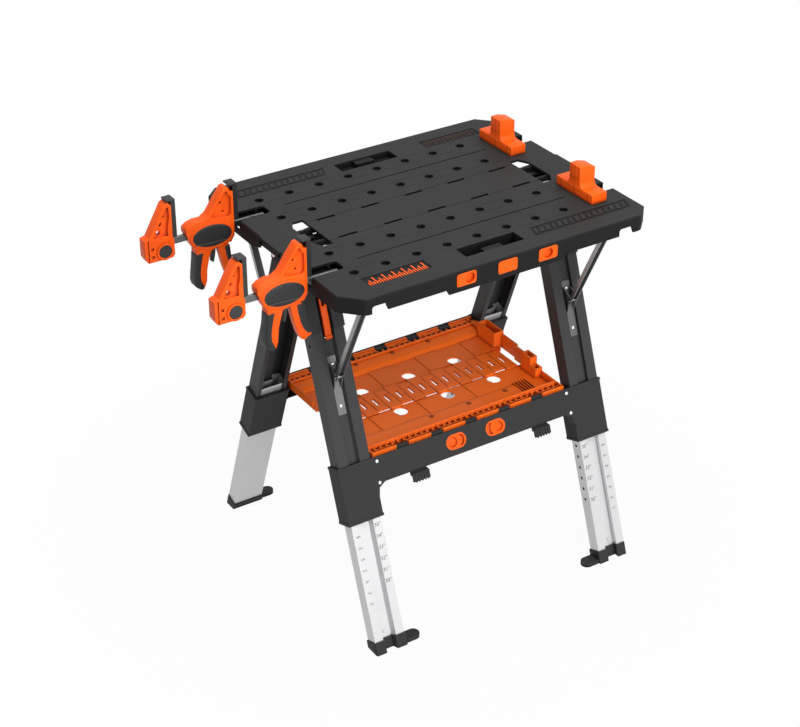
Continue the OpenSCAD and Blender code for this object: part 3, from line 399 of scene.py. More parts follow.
def strut_steel():
    """Plain steel of the struts."""
    return drawn_metal("strut_steel", (0.30, 0.30, 0.305), 0.36, (900, 900, 12), (0.62, 0.62, 0.63))


def bracket_steel():
    """Darker steel of the struts' brackets and mounts."""
    return drawn_metal("bracket_steel", (0.13, 0.13, 0.132), 0.36, (900, 900, 12), (0.6, 0.6, 0.6), 0.6)


def bar_steel():
    """Blackened steel of the clamp bars."""
    return drawn_metal("bar_steel", (0.16, 0.16, 0.165), 0.34, (10, 900, 900), (0.6, 0.6, 0.6))


def paint(material, *names):
    """The material on CAD nodes that stay."""
    for name in names:
        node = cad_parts[name]
        if not node.material_slots:
            node.data.materials.append(material)
        for held in node.material_slots:
            held.material = material


def rule_tree(name, sizes):
    """A geometry tree with one named input for each size. Gives its nodes and its inputs."""
    tree = bpy.data.node_groups.new(name, "GeometryNodeTree")
    nodes = Nodes(tree)
    tree.interface.new_socket("Geometry", in_out="OUTPUT", socket_type="NodeSocketGeometry")
    for label, kind in sizes.items():
        tree.interface.new_socket(label, in_out="INPUT", socket_type="NodeSocket" + kind)
    given = tree.nodes.new("NodeGroupInput")
    return nodes, {label: Signal(nodes, given.outputs[label]) for label in sizes}


GRID_SIZES = {
    "Material": "Material", "Start": "Vector", "Count": "Int", "Step": "Vector", "Rows": "Int",
    "Row Step": "Vector",
}


def on_grid(nodes, given, stamp):
    """The stamp on each point of a grid of rows, as real geometry with its material."""
    line = {"Count": given["Count"], "Start Location": given["Start"], "Offset": given["Step"]}
    columns = nodes.add("GeometryNodeMeshLine", {"mode": "OFFSET"}, line)
    rows = nodes.add("GeometryNodeMeshLine", {"mode": "OFFSET"},
                     {"Count": given["Rows"], "Offset": given["Row Step"]})
    spread = nodes.add("GeometryNodeInstanceOnPoints", {}, {"Points": rows, "Instance": columns})
    points = nodes.add("GeometryNodeRealizeInstances", {}, {"Geometry": spread})
    stamped = nodes.add("GeometryNodeInstanceOnPoints", {}, {"Points": points, "Instance": stamp})
    solid = nodes.add("GeometryNodeRealizeInstances", {}, {"Geometry": stamped})
    dressed = nodes.add("GeometryNodeSetMaterial", {}, {"Geometry": solid, "Material": given["Material"]})
    nodes.add("NodeGroupOutput", {}, {"Geometry": dressed})


def bar_tree():
    """Small bars, such as ticks, ribs and ridges."""
    nodes, given = rule_tree("bars", {**GRID_SIZES, "Bar": "Vector"})
    on_grid(nodes, given, nodes.add("GeometryNodeMeshCube", {}, {"Size": given["Bar"]}))
    return nodes.tree


def dome_tree():
    """Domed heads, such as rivets."""
    nodes, given = rule_tree("domes", {**GRID_SIZES, "Radius": "Float", "Flat": "Vector"})
    ball = nodes.add("GeometryNodeMeshUVSphere", {}, {"Segments": 20, "Rings": 10, "Radius": given["Radius"]})
    head = nodes.add("GeometryNodeTransform", {}, {"Geometry": ball, "Scale": given["Flat"]})
    smooth = nodes.add("GeometryNodeSetShadeSmooth", {}, {"Geometry": head, "Shade Smooth": True})
    on_grid(nodes, given, smooth)
    return nodes.tree


def rim_tree():
    """Round rims laid flat, such as the lips of holes."""
    nodes, given = rule_tree("rims", {**GRID_SIZES, "Radius": "Float", "Lip": "Float"})
    path = nodes.add("GeometryNodeCurvePrimitiveCircle", {}, {"Resolution": 32, "Radius": given["Radius"]})
    lip = nodes.add("GeometryNodeCurvePrimitiveCircle", {}, {"Resolution": 6, "Radius": given["Lip"]})
    ring = nodes.add("GeometryNodeCurveToMesh", {}, {"Curve": path, "Profile Curve": lip})
    on_grid(nodes, given, ring)
    return nodes.tree


def disc_tree():
    """Flat round plates, such as the backs of cups."""
    nodes, given = rule_tree("discs", {**GRID_SIZES, "Radius": "Float", "Thick": "Float"})
    sizes = {"Vertices": 40, "Radius": given["Radius"], "Depth": given["Thick"]}
    on_grid(nodes, given, nodes.add("GeometryNodeMeshCylinder", {}, sizes, "Mesh"))
    return nodes.tree


def sleeve_tree():
    """Short tubes, such as the collars under the holes."""
    sizes = {**GRID_SIZES, "Radius": "Float", "Wall": "Float", "Deep": "Float"}
    nodes, given = rule_tree("sleeves", sizes)
    path = nodes.add("GeometryNodeCurvePrimitiveCircle", {}, {"Resolution": 32, "Radius": given["Radius"]})
    wall = nodes.add("GeometryNodeCurvePrimitiveQuadrilateral", {},
                     {"Width": given["Wall"], "Height": given["Deep"]})
    tube = nodes.add("GeometryNodeCurveToMesh", {}, {"Curve": path, "Profile Curve": wall})
    on_grid(nodes, given, tube)
    return nodes.tree


def frame_rim_tree():
    """Lips round rounded rectangles, laid flat."""
    sizes = {**GRID_SIZES, "Width": "Float", "Height": "Float", "Corner": "Float", "Lip": "Float"}
    nodes, given = rule_tree("rounded lips", sizes)
    plain = nodes.add("GeometryNodeCurvePrimitiveQuadrilateral", {},
                      {"Width": given["Width"], "Height": given["Height"]})
    path = nodes.add("GeometryNodeFilletCurve", {"mode": "POLY"},
                     {"Curve": plain, "Radius": given["Corner"], "Count": 6})
    lip = nodes.add("GeometryNodeCurvePrimitiveCircle", {}, {"Resolution": 6, "Radius": given["Lip"]})
    ring = nodes.add("GeometryNodeCurveToMesh", {}, {"Curve": path, "Profile Curve": lip})
    on_grid(nodes, given, ring)
    return nodes.tree


TREES = {}
SAME_SPOT = 0.00001
FLAT_TURN = math.radians(1)
EDGE_TURN = 35


def holding(name, data):
    """A new object in the scene for the data."""
    holder = bpy.data.objects.new(name, data)
    bpy.context.scene.collection.objects.link(holder)
    return holder


def evaluated(*holders):
    """The first holder's mesh with its modifiers applied. All the holders go."""
    bpy.context.view_layer.update()
    live = holders[0].evaluated_get(bpy.context.evaluated_depsgraph_get())
    mesh = bpy.data.meshes.new_from_object(live)
    for holder in holders:
        bpy.data.objects.remove(holder)
    return mesh


def opened(mesh):
    """A bmesh that holds the mesh."""
    solid = bmesh.new()
    solid.from_mesh(mesh)
    return solid


def closed(solid, name):
    """A new mesh from a bmesh, which goes."""
    mesh = bpy.data.meshes.new(name)
    solid.to_mesh(mesh)
    solid.free()
    return mesh


def bevelled(solid, width, turn, segments):
    """Round the edges whose faces turn by more than so many degrees."""
    sharp = [e for e in solid.edges if e.is_manifold and e.calc_face_angle() > math.radians(turn)]
    bmesh.ops.bevel(solid, geom=sharp, offset=width, segments=segments, profile=0.5, affect="EDGES",
                    clamp_overlap=True)


def circle(count):
    """Cosine and sine of even steps round a circle."""
    angles = [2 * math.pi * i / count for i in range(count)]
    return [(math.cos(a), math.sin(a)) for a in angles]


def grown(build, material, **values):
    """One plain mesh from a geometry tree. Names of values are the tree's inputs in lower case."""
    if build not in TREES:
        TREES[build] = build()
    holder = holding("holder", bpy.data.meshes.new("holder"))
    rule = holder.modifiers.new("rule", "NODES")
    rule.node_group = TREES[build]
    given = {"count": 1, "step": (0, 0, 0), "rows": 1, "row_step": (0, 0, 0), "material": material, **values}
    for item in TREES[build].interface.items_tree:
        if item.in_out == "INPUT":
            rule[item.identifier] = given[item.name.lower().replace(" ", "_")]
    mesh = evaluated(holder)
    mesh.materials.clear()
    mesh.materials.append(material)
    return mesh


def joined(name, parts, body, material=None, smooth=None):
    """One piece from (mesh, place) pairs, riding on a body."""
    whole = bmesh.new()
    for mesh, place in parts:
        part = mesh.copy()
        part.transform(place)
        if place.determinant() < 0:
            part.flip_normals()
        whole.from_mesh(part)
        if material is None and part.materials:
            material = part.materials[0]
        bpy.data.meshes.remove(part)
    mesh = closed(whole, name)
    mesh.materials.append(material)
    mesh.polygons.foreach_set("material_index", [0] * len(mesh.polygons))
    if smooth is not None:
        mesh.polygons.foreach_set("use_smooth", [True] * len(mesh.polygons))
        mesh.set_sharp_from_angle(angle=math.radians(smooth))
    piece = holding(name, mesh)
    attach(piece, body)
    return piece


def prism(outline, y0, y1):
    """A solid between two depths on Y, from an outline on the XZ plane."""
    solid = bmesh.new()
    near = [solid.verts.new((x, y0, z)) for x, z in outline]
    far = [solid.verts.new((x, y1, z)) for x, z in outline]
    solid.faces.new(near)
    solid.faces.new(list(reversed(far)))
    for i in range(len(outline)):
        k = (i + 1) % len(outline)
        solid.faces.new((near[k], near[i], far[i], far[k]))
    bmesh.ops.recalc_face_normals(solid, faces=solid.faces)
    return closed(solid, "prism")


def rounded(mesh, width):
    """The mesh with its edges rounded."""
    solid = opened(mesh)
    bevelled(solid, width, EDGE_TURN, 3)
    solid.to_mesh(mesh)
    solid.free()
    return mesh


def carved(mesh, cuts):
    """The mesh less each cut, a mesh of its own."""
    holders = [holding("holder", held) for held in (mesh, *cuts)]
    for holder in holders[1:]:
        cut = holders[0].modifiers.new("cut", "BOOLEAN")
        cut.operation = "DIFFERENCE"
        cut.solver = "EXACT"
        cut.object = holder
    return evaluated(*holders)


def eased(node, width, material, body, cuts=()):
    """A copy of a CAD node, less its cuts and with its edges rounded, which stands for it."""
    solid = opened(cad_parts[node].data)
    bmesh.ops.remove_doubles(solid, verts=solid.verts, dist=SAME_SPOT)
    bmesh.ops.dissolve_limit(solid, angle_limit=FLAT_TURN, verts=solid.verts, edges=solid.edges)
    if cuts:
        solid = opened(carved(closed(solid, "whole"), cuts))
        bmesh.ops.dissolve_limit(solid, angle_limit=FLAT_TURN, verts=solid.verts, edges=solid.edges)
    bevelled(solid, width, EDGE_TURN, 2)
    mesh = closed(solid, node + "_eased")
    piece = joined(node + "_eased", [(mesh, HERE)], body, material, 40)
    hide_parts(node)
    return piece


def block(low, high):
    """A box mesh between two corners."""
    solid = bmesh.new()
    low, high = (Vector([pick(pair) for pair in zip(low, high)]) for pick in (min, max))
    size = high - low
    place = Matrix.Translation((high + low) / 2) @ Matrix.Diagonal((*size, 1))
    bmesh.ops.create_cube(solid, size=1, matrix=place)
    return closed(solid, "block")


def cushioned(outline, low, rings):
    """A raised pad on the XZ plane, facing -Y: an outline with rings drawn in by a share and raised."""
    solid = bmesh.new()
    middle = sum((Vector(p) for p in outline), Vector((0, 0))) / len(outline)
    loops = []
    for inset, rise in rings:
        points = [middle + (Vector(p) - middle) * (1 - inset) for p in outline]
        loops.append([solid.verts.new((p.x, low - rise, p.y)) for p in points])
    for lower, upper in zip(loops, loops[1:]):
        for i in range(len(outline)):
            k = (i + 1) % len(outline)
            solid.faces.new((lower[i], lower[k], upper[k], upper[i]))
    solid.faces.new(loops[-1])
    solid.faces.new(list(reversed(loops[0])))
    bmesh.ops.recalc_face_normals(solid, faces=solid.faces)
    return closed(solid, "pad")


def lettering(words, height, thick):
    """Plain numbers as a mesh, standing in the XY plane, middle at the origin."""
    curve = bpy.data.curves.new("number", "FONT")
    curve.body = words
    curve.size = height
    curve.extrude = thick / 2
    curve.align_x = "CENTER"
    curve.align_y = "CENTER"
    curve.resolution_u = 3
    return evaluated(holding("number", curve))


def on_plane(origin, across, up):
    """A place whose X runs across, whose Y runs up, and whose Z stands out."""
    across = Vector(across).normalized()
    up = Vector(up).normalized()
    turn = Matrix((across, up, across.cross(up))).transposed().to_4x4()
    return Matrix.Translation(origin) @ turn


# Small worktop sizes: dashes, hole lips and sleeves, long recess, skirt inserts, cups and slot webs
HOLES_ALONG = 9
TICK = (0.0052, 0.0009, 0.0004)
TICK_COUNT = 62
TICK_PITCH = 0.0096
TICK_OFF = 0.0165
RIM_LIP = 0.0006
CHART_X = (0.103, 0.377)
CHART_Y = (-0.270, -0.232)
CHART_RIBS = 16
CHART_SPARE = 0.02
CHART_START = 0.016
RIB_SHARES = (0.4, 0.62, 0.62)
RIB_LOW = (-0.010, -0.001)
RIB_HIGH = (0.010, 0.0001)
RIB_SLANT = 0.37
INSERT_XS = (-0.105, 0.0, 0.105)
INSERT_Z = 0.8675
INSERT_SIZE = (0.0475, 0.0275, 0.0055)
INSERT_PROUD = 0.0008
SLEEVE_AT = 0.0125
SLEEVE_DEEP = 0.014
SLEEVE_WALL = 0.0014
CUP_XS = (-0.096, 0.106)
CUP_Z = 0.867
CUP_BACK = (0.0125, 0.0016, 0.3085)
SLOT_WEB_X = (0.3905, 0.285)
SLOT_WEB_Y = {"front": (-0.150, -0.100), "rear": (-0.208, -0.164)}
SLOT_WEB_Z = (0.870, 0.8716)


def worktop_marks(end, place):
    """Ruler dashes beside each row of holes, and a lip and a sleeve for each hole."""
    values = bpy.context.scene.workbench_top
    half = TICK_PITCH * (TICK_COUNT - 1) / 2
    parts = []
    for row in (1, 2):
        for side in (-1, 1):
            start = (-half, -row * HOLE_ROW + side * TICK_OFF, TOP_Z)
            dashes = grown(bar_tree, engraved(), start=start, count=TICK_COUNT, step=(TICK_PITCH, 0, 0),
                           bar=(values.tick_length, TICK[1], TICK[2]))
            parts.append((dashes, place))
    joined(f"{end}_ruler_dashes", parts, f"{end}_wing")
    first = (-(HOLES_ALONG - 1) / 2 * HOLE_PITCH, -2 * HOLE_ROW)
    grid = {"count": HOLES_ALONG, "step": (HOLE_PITCH, 0, 0), "rows": 2, "row_step": (0, HOLE_ROW, 0)}
    lips = grown(rim_tree, top_black(), start=(*first, TOP_Z), radius=HOLE_R + RIM_LIP, lip=RIM_LIP, **grid)
    joined(f"{end}_hole_lips", [(lips, place)], f"{end}_wing", None, 60)
    sleeves = grown(sleeve_tree, top_black(), start=(*first, TOP_Z - SLEEVE_AT), radius=HOLE_R + SLEEVE_WALL,
                    wall=SLEEVE_WALL, deep=SLEEVE_DEEP, **grid)
    joined(f"{end}_hole_sleeves", [(sleeves, place)], f"{end}_wing", None, 60)


def slot_floors(end, place):
    """Dark webs low under the two clamp slots, where the line of sight from the front meets them: dark sheets
    that stand for the shade seen down the slots.
    """
    low, high = zip(SLOT_WEB_X, SLOT_WEB_Y[end], SLOT_WEB_Z)
    web = block(low, high)
    joined(f"{end}_slot_floors", [(web, place @ MIRROR), (web, place)], f"{end}_wing",
           top_black())


def chart_ribs(end, place):
    """Plain slanted ribs in the long recess, where the real bench has words."""
    step = (CHART_X[1] - CHART_X[0] - CHART_SPARE) / CHART_RIBS
    slant = Matrix(((1, RIB_SLANT, 0, 0), (0, 1, 0, 0), (0, 0, 1, 0), (0, 0, 0, 1)))
    ribs = []
    for i in range(CHART_RIBS):
        at = Matrix.Translation((CHART_X[0] + CHART_START + i * step, sum(CHART_Y) / 2, TOP_Z))
        half = step * RIB_SHARES[i % len(RIB_SHARES)] / 2
        ribs.append((block((-half, *RIB_LOW), (half, *RIB_HIGH)), place @ at @ slant))
    joined(f"{end}_recess_ribs", ribs, f"{end}_wing", top_black())


def skirt_lips(end, place):
    """Raised lips round the three orange skirt inserts, and backs behind the two cups."""
    values = bpy.context.scene.workbench_top
    wide, high, corner = INSERT_SIZE
    radius, thick, deep = CUP_BACK
    stand = place @ Matrix.Translation((0, -EDGE_Y - INSERT_PROUD, INSERT_Z)) @ UPRIGHT
    lips = grown(frame_rim_tree, skirt_orange(), start=(INSERT_XS[0], 0, 0), count=3,
                 step=(INSERT_XS[1] - INSERT_XS[0], 0, 0), width=wide, height=high, corner=corner,
                 lip=values.lip)
    joined(f"{end}_insert_lips", [(lips, stand)], f"{end}_wing", None, 60)
    behind = place @ Matrix.Translation((0, -deep, CUP_Z)) @ UPRIGHT
    backs = grown(disc_tree, skirt_orange(), start=(CUP_XS[0], 0, 0), count=2,
                  step=(CUP_XS[1] - CUP_XS[0], 0, 0), radius=radius, thick=thick)
    joined(f"{end}_cup_backs", [(backs, behind)], f"{end}_wing", None, 60)


class WORKBENCH_OT_worktop(bpy.types.Operator):
    """Finish the worktop and add its dashes, lips and ribs"""

    bl_idname = "workbench.worktop"
    bl_label = "Worktop"

    def execute(self, context):
        paint(top_black(), "center_beam", "front_wing", "rear_wing")
        paint(skirt_orange(), "front_inserts")
        paint(rear_orange(), "rear_inserts")
        paint(zinc(), "hinge_rods", "leg_pivots")
        for end, place in ENDS.items():
            paint(bracket_steel(), f"{end}_strut_mounts")
            worktop_marks(end, place)
            chart_ribs(end, place)
            slot_floors(end, place)
            skirt_lips(end, place)
        return {"FINISHED"}


# Small leg frame sizes: x across, u up the leg from its foot, y into the leg
RIVETS = ((0.261, 0.399, -0.002), (0.264, 0.350, -0.002))
BRACKET_RIVETS = (0.543, 0.638)
HOOKS = (-0.163, 0.172)
HOOK_RIBS = 5
HOOK_PITCH = 0.0078
RIVET_R = 0.0042
RIVET_FLAT = (1, 0.45, 1)
SEAT = (0.316, 0.0065)
CAP_RIVET = (0.264, 0.003, 0.844)
LEVER_PIN = (-0.316, 0.001, 0.701)
LEVER_PIN_R = 0.0025
LEVER_PIN_FLAT = (4.4, 1, 1)
WINDOW = (0.054, 0.3805, 0.009, 0.0175)
WINDOW_BACK_Y = 0.0034
WINDOW_BACK = ((0, 0), (0, 0.0012), (0.04, 0.0016))
HOOK_FACE = (-0.0135, 0.3335)
HOOK_RIB = (0.003, 0.0016, 0.019)


def domes(start, radius=RIVET_R, flat=RIVET_FLAT, **row):
    """A row of domed heads in bright plating."""
    return grown(dome_tree, zinc(), start=start, radius=radius, flat=flat, **row)


def rivet_heads(end, place):
    """Domed rivets on the beam, collars and strut brackets, which stand for the flat ones."""
    low, high = BRACKET_RIVETS
    parts = []
    for turn in (HERE, MIRROR):
        parts += [(domes((x, y, u)), place @ LEG @ turn) for x, u, y in RIVETS]
        parts.append((domes((*SEAT, low), count=2, step=(0, 0, high - low)), place @ LEG @ turn))
        parts.append((domes(CAP_RIVET), place @ LEG @ turn))
    parts.append((domes(LEVER_PIN, LEVER_PIN_R, LEVER_PIN_FLAT), place @ LEG))
    heads = joined(f"{end}_rivet_heads", parts, f"{end}_frame")
    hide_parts(f"{end}_rivets")


def window_backs(end, place):
    """Orange backs that close the two windows of the beam."""
    middle, height, straight, radius = WINDOW
    parts = []
    for x in (-middle, middle):
        outline = [(x + math.copysign(straight, c) + radius * c, height + radius * s) for c, s in circle(32)]
        parts.append((cushioned(outline, WINDOW_BACK_Y, WINDOW_BACK), place @ LEG))
    joined(f"{end}_window_backs", parts, f"{end}_frame", skirt_orange(), 50)


def hook_ribs(end, place):
    """Ridges down the face of the two carrying hooks."""
    parts = []
    for x in HOOKS:
        start = (x - HOOK_PITCH * (HOOK_RIBS - 1) / 2, *HOOK_FACE)
        ribs = grown(bar_tree, frame_black(), start=start, count=HOOK_RIBS, step=(HOOK_PITCH, 0, 0),
                     bar=HOOK_RIB)
        parts.append((ribs, place @ LEG))
    joined(f"{end}_hook_ribs", parts, f"{end}_frame")


class WORKBENCH_OT_leg_frames(bpy.types.Operator):
    """Finish the two leg frames, their struts and levers"""

    bl_idname = "workbench.leg_frames"
    bl_label = "Leg frames"

    def execute(self, context):
        for end, place in ENDS.items():
            paint(leg_black(), f"{end}_left_channel", f"{end}_right_channel")
            paint(frame_black(), f"{end}_beam", f"{end}_top_brackets")
            paint(skirt_orange(), f"{end}_beam_inserts")
            paint(bracket_steel(), f"{end}_strut_brackets")
            paint(strut_steel(), f"{end}_left_strut", f"{end}_right_strut")
            eased(f"{end}_lever", 0.0009, skirt_orange(), f"{end}_lever")
            rivet_heads(end, place)
            hook_ribs(end, place)
            window_backs(end, place)
        return {"FINISHED"}


# Scale on the inner legs: inches on the wide flank, millimetres in small print on the other
TOP_INCH = 35
INCH_MARKS = 6
TOP_MM = 889
MM_MARKS = 7
INCH = 25.4
SMALL_SHARE = 0.55
INK_T = 0.0002
SCALE_X = 0.2885
SCALE_TOP = 0.259
SCALE_STEP = 0.0266
SMALL_X = 0.341
SMALL_TOP = 0.246


def height_scale(end, side, place):
    """Plain height numbers on both flanks of one inner leg."""
    values = bpy.context.scene.workbench_legs
    hand = 1 if (side == "right") == (end == "front") else -1
    columns = (
        (SCALE_X, SCALE_TOP, 1.0, [f'{TOP_INCH - i}"' for i in range(INCH_MARKS)]),
        (SMALL_X, SMALL_TOP, SMALL_SHARE, [str(round(TOP_MM - i * INCH)) for i in range(MM_MARKS)]),
    )
    parts = []
    for x, top, share, words in columns:
        for i, word in enumerate(words):
            number = lettering(word, values.number_height * share, INK_T)
            spot = on_plane((hand * x, TUBE_Y, top - i * SCALE_STEP), (1, 0, 0), (0, 0, 1))
            parts.append((number, place @ LEG @ spot))
    joined(f"{end}_{side}_scale", parts, f"{end}_{side}_inner_leg", scale_ink())


class WORKBENCH_OT_inner_legs(bpy.types.Operator):
    """Finish the four sliding legs and their feet"""

    bl_idname = "workbench.inner_legs"
    bl_label = "Inner legs"

    def execute(self, context):
        for end, place in ENDS.items():
            for side in ("left", "right"):
                paint(leg_aluminium(), f"{end}_{side}_tube")
                paint(frame_black(), f"{end}_{side}_foot")
                height_scale(end, side, place)
        return {"FINISHED"}


# Small tray sizes: each end's tongues as first X, count and side, ledge outlines on Y and Z, recesses
TRAY_FLOOR = 0.405115
TONGUE_TOP = TRAY_FLOOR + 0.004
TONGUES = {"front": (-0.2322, 8, 1), "rear": (-0.1996, 7, -1)}
TONGUE_PITCH = 0.0652
TONGUE_Y = 0.0195
TONGUE_LIP = {"width": 0.0278, "height": 0.0330, "corner": 0.0125, "lip": 0.0007}
LEDGE_SPANS = {"front": (-0.2615, 0.178), "rear": (-0.2615, 0.262)}
LEDGE_PROFILES = {
    "front": ((-0.1715, -0.0005), (-0.1715, 0.0058), (-0.118, 0.005), (-0.111, 0.0036), (-0.1075, -0.0005)),
    "rear": ((0.1715, -0.0005), (0.1715, 0.0105), (0.137, 0.0098), (0.130, 0.007), (0.1245, -0.0005)),
}
RECESSES = {
    "front": ((-0.060, -0.124, TRAY_FLOOR + 0.0053), 3),
    "rear": ((-0.193, 0.158, TRAY_FLOOR + 0.0102), 4),
}
RECESS_PITCH = 0.103
RECESS_R = 0.0062
RECESS_T = 0.0006


def tray_details(end):
    """Lips on the tongues, the ledge along the beam, and flat dark rounds on it whose darkness is painted
    shade, standing for rounds sunk in it.
    """
    tray = f"{end}_tray"
    first, count, way = TONGUES[end]
    lips = grown(frame_rim_tree, tray_orange(), start=(first, way * TONGUE_Y, TONGUE_TOP), count=count,
                 step=(TONGUE_PITCH, 0, 0), **TONGUE_LIP)
    joined(f"{end}_tongue_lips", [(lips, HERE)], tray, tray_orange(), 60)
    ledge = prism([(y, TRAY_FLOOR + z) for y, z in LEDGE_PROFILES[end]], *LEDGE_SPANS[end])
    joined(f"{end}_tray_ledge", [(ledge, SWAP_XY)], tray, tray_orange(), 40)
    spot, count = RECESSES[end]
    # Painted shade: flat deep orange rounds where the ledge has recesses.
    rounds = grown(disc_tree, engraved(), start=spot, count=count, step=(RECESS_PITCH, 0, 0), radius=RECESS_R,
                   thick=RECESS_T)
    joined(f"{end}_tray_recesses", [(rounds, HERE)], tray, scored_orange())


class WORKBENCH_OT_tray(bpy.types.Operator):
    """Finish the folding tray"""

    bl_idname = "workbench.tray"
    bl_label = "Tray"

    def execute(self, context):
        for end in ENDS:
            paint(tray_orange(), f"{end}_tray")
            paint(zinc(), f"{end}_tray_rod")
            tray_details(end)
        return {"FINISHED"}


# Lines scored in the dog blocks: half widths, heights from the base, and places as shares of the sizes
LINE = 0.0004
SCORE_THIN = 0.00025
SCORE_LOW = -0.008
SCORE_HIGH = 0.018
BASE_LINE_SHARE = 0.38
POST_LINE_SHARE = 0.3


def score_lines(end, place):
    """Thin lines scored into the dog block's faces, for setting out."""
    base = TOP_Z + DOG_BASE_H
    top = base + DOG_POST_H
    spans = [(-LINE, LINE, TOP_Z, top)]
    for size, rise in ((DOG_L, SCORE_LOW), (DOG_POST_W, SCORE_HIGH)):
        spans.append((-size / 2, size / 2, base + rise, base + rise + 2 * LINE))
    for side in (-1, 1):
        edge = side * DOG_L * BASE_LINE_SHARE
        spans.append((edge - LINE, edge + LINE, TOP_Z, base))
        edge = side * DOG_POST_W * POST_LINE_SHARE
        spans.append((edge - LINE, edge + LINE, base + SCORE_HIGH, top))
    parts = [(block((DOG_X - SCORE_THIN, y0 - DOG_Y, z0), (DOG_X + SCORE_THIN, y1 - DOG_Y, z1)), place)
             for y0, y1, z0, z1 in spans]
    joined(f"{end}_dog_lines", parts, f"{end}_dog", scored_orange())


class WORKBENCH_OT_dogs(bpy.types.Operator):
    """Finish the two bench dog blocks and score their setting out lines"""

    bl_idname = "workbench.dogs"
    bl_label = "Dog blocks"

    def execute(self, context):
        for end in ENDS:
            eased(f"{end}_dog", 0.0012, skirt_orange(), f"{end}_dog")
            score_lines(end, HERE if end == "front" else FRONT_TO_BACK)
        return {"FINISHED"}


# Clamp outlines, as shares of the clamp size from the middle of the clamp
BADGE_SHARES = (-0.02, -0.062)
BADGE_SIZE_SHARES = (0.485, 0.265)
HANDLE_SHARES = (
    (-0.24, -0.42), (-0.28, -0.55), (-0.315, -0.72), (-0.34, -0.9), (-0.335, -1.08), (-0.27, -1.22),
    (-0.26, -1.30), (-0.34, -1.325), (-0.475, -1.22), (-0.5, -1.1), (-0.48, -0.9), (-0.44, -0.6),
    (-0.425, -0.42),
)
FINGER_SHARES = (
    (0.28, -0.42), (0.31, -0.62), (0.36, -0.86), (0.43, -1.04), (0.53, -1.17), (0.635, -1.19),
    (0.64, -1.13), (0.54, -1.03), (0.48, -0.88), (0.44, -0.64), (0.42, -0.42),
)
JAW_WEB_SHARES = (
    (-0.02, 0.36), (0.05, 0.47), (0.18, 0.66), (0.32, 0.86), (0.38, 0.885), (0.41, 0.80), (0.475, 0.74),
    (0.475, 0.34), (0.42, 0.28), (0.25, 0.30), (0.1, 0.31),
)
JAW_HOLES_SHARES = ((0.24, 0.62, 0.028), (0.30, 0.40, 0.024))
PAD_SHARES = ((0.53, 0.15), (0.64, 0.15), (0.64, 1.03), (0.43, 1.03), (0.43, 0.99), (0.53, 0.99))
END_WEB_SHARES = (
    (-1.41, 0.22), (-1.34, 0.35), (-1.15, 0.70), (-1.06, 0.87), (-1.01, 0.87), (-1.0, 0.62), (-1.05, 0.4),
    (-1.05, 0.2),
)
END_PAD_SHARES = (
    (-0.95, 0.13), (-0.842, 0.13), (-0.842, 1.03), (-1.05, 1.03), (-1.05, 0.99), (-0.95, 0.99),
)
END_POCKETS_SHARES = ((-1.44, -0.02, 0.035), (-1.43, -0.21, 0.035))
END_GROOVE_SHARES = ((-1.545, -0.31), (-1.515, 0.21))
BUTTON_SHARES = (-1.15, -0.135)

# Small clamp sizes: how far cuts go in and past a face, and how far pieces stand out
BADGE_TILT = math.radians(3)
BADGE_DOME = ((0, -0.001), (0, 0.0006), (0.03, 0.0018), (0.10, 0.0027), (0.3, 0.0034), (0.6, 0.0038))
BADGE_RIM = ((0, -0.001), (0.0, 0.0010), (0.02, 0.0016), (0.05, 0.0016))
BADGE_RIM_WIDE = 0.0042
# Corners of the painted highlight along each badge's crease, as x, out from the face, and z.
CREASE = ((-0.040, 0.0040, -0.0155), (0.034, 0.002, -0.0147))
CLAMP_FACE = HOUSING_T / 2
CUT_PAST = 0.002
WEB_DEEP = 0.0075
POCKET_DEEP = 0.004
GROOVE_DEEP = 0.003
GRIP_PROUD = 0.0014
GRIP_ROUND = 0.0035
PAD_ROUND = 0.0014
FINGER_HALF = 0.0098
FINGER_ROUND = 0.003
BOSS = {"radius": 0.0175, "wall": 0.0045, "deep": 0.003}
BOSS_PROUD = 0.0008


def sized(shares):
    """Points in metres from shares of the clamp size."""
    return [(x * CLAMP_SIZE, z * CLAMP_SIZE) for x, z in shares]


def corners(low, high):
    """The four corners of a rectangle."""
    return ((low[0], low[1]), (high[0], low[1]), (high[0], high[1]), (low[0], high[1]))


def badge_outline(grow):
    """The oval of the badge, as points about its middle."""
    wide, high = (share * CLAMP_SIZE + grow for share in BADGE_SIZE_SHARES)
    c, s = math.cos(BADGE_TILT), math.sin(BADGE_TILT)
    return [(wide * x * c + high * z * s, high * z * c - wide * x * s) for x, z in circle(48)]


def both_faces(outline, deep, at):
    """Cuts of one outline, sunk into both faces of a clamp."""
    cuts = [prism(outline, -CLAMP_FACE - CUT_PAST, -CLAMP_FACE + deep),
            prism(outline, CLAMP_FACE - deep, CLAMP_FACE + CUT_PAST)]
    for cut in cuts:
        cut.transform(at)
    return cuts


def clamp_cuts(at):
    """Sunk web and holes of the fixed jaw."""
    cuts = both_faces(sized(JAW_WEB_SHARES), WEB_DEEP, at)
    for x, z, r in JAW_HOLES_SHARES:
        outline = sized([(x + r * c, z + r * s) for c, s in circle(16)])
        hole = prism(outline, -CLAMP_FACE - CUT_PAST, CLAMP_FACE + CUT_PAST)
        hole.transform(at)
        cuts.append(hole)
    return cuts


def end_cuts(at):
    """Sunk web, pockets and groove of the end jaw."""
    cuts = both_faces(sized(END_WEB_SHARES), WEB_DEEP, at)
    for x, z, half in END_POCKETS_SHARES:
        square = corners((x - half, z - half), (x + half, z + half))
        cuts += both_faces(sized(square), POCKET_DEEP, at)
    cuts += both_faces(sized(corners(*END_GROOVE_SHARES)), GROOVE_DEEP, at)
    return cuts


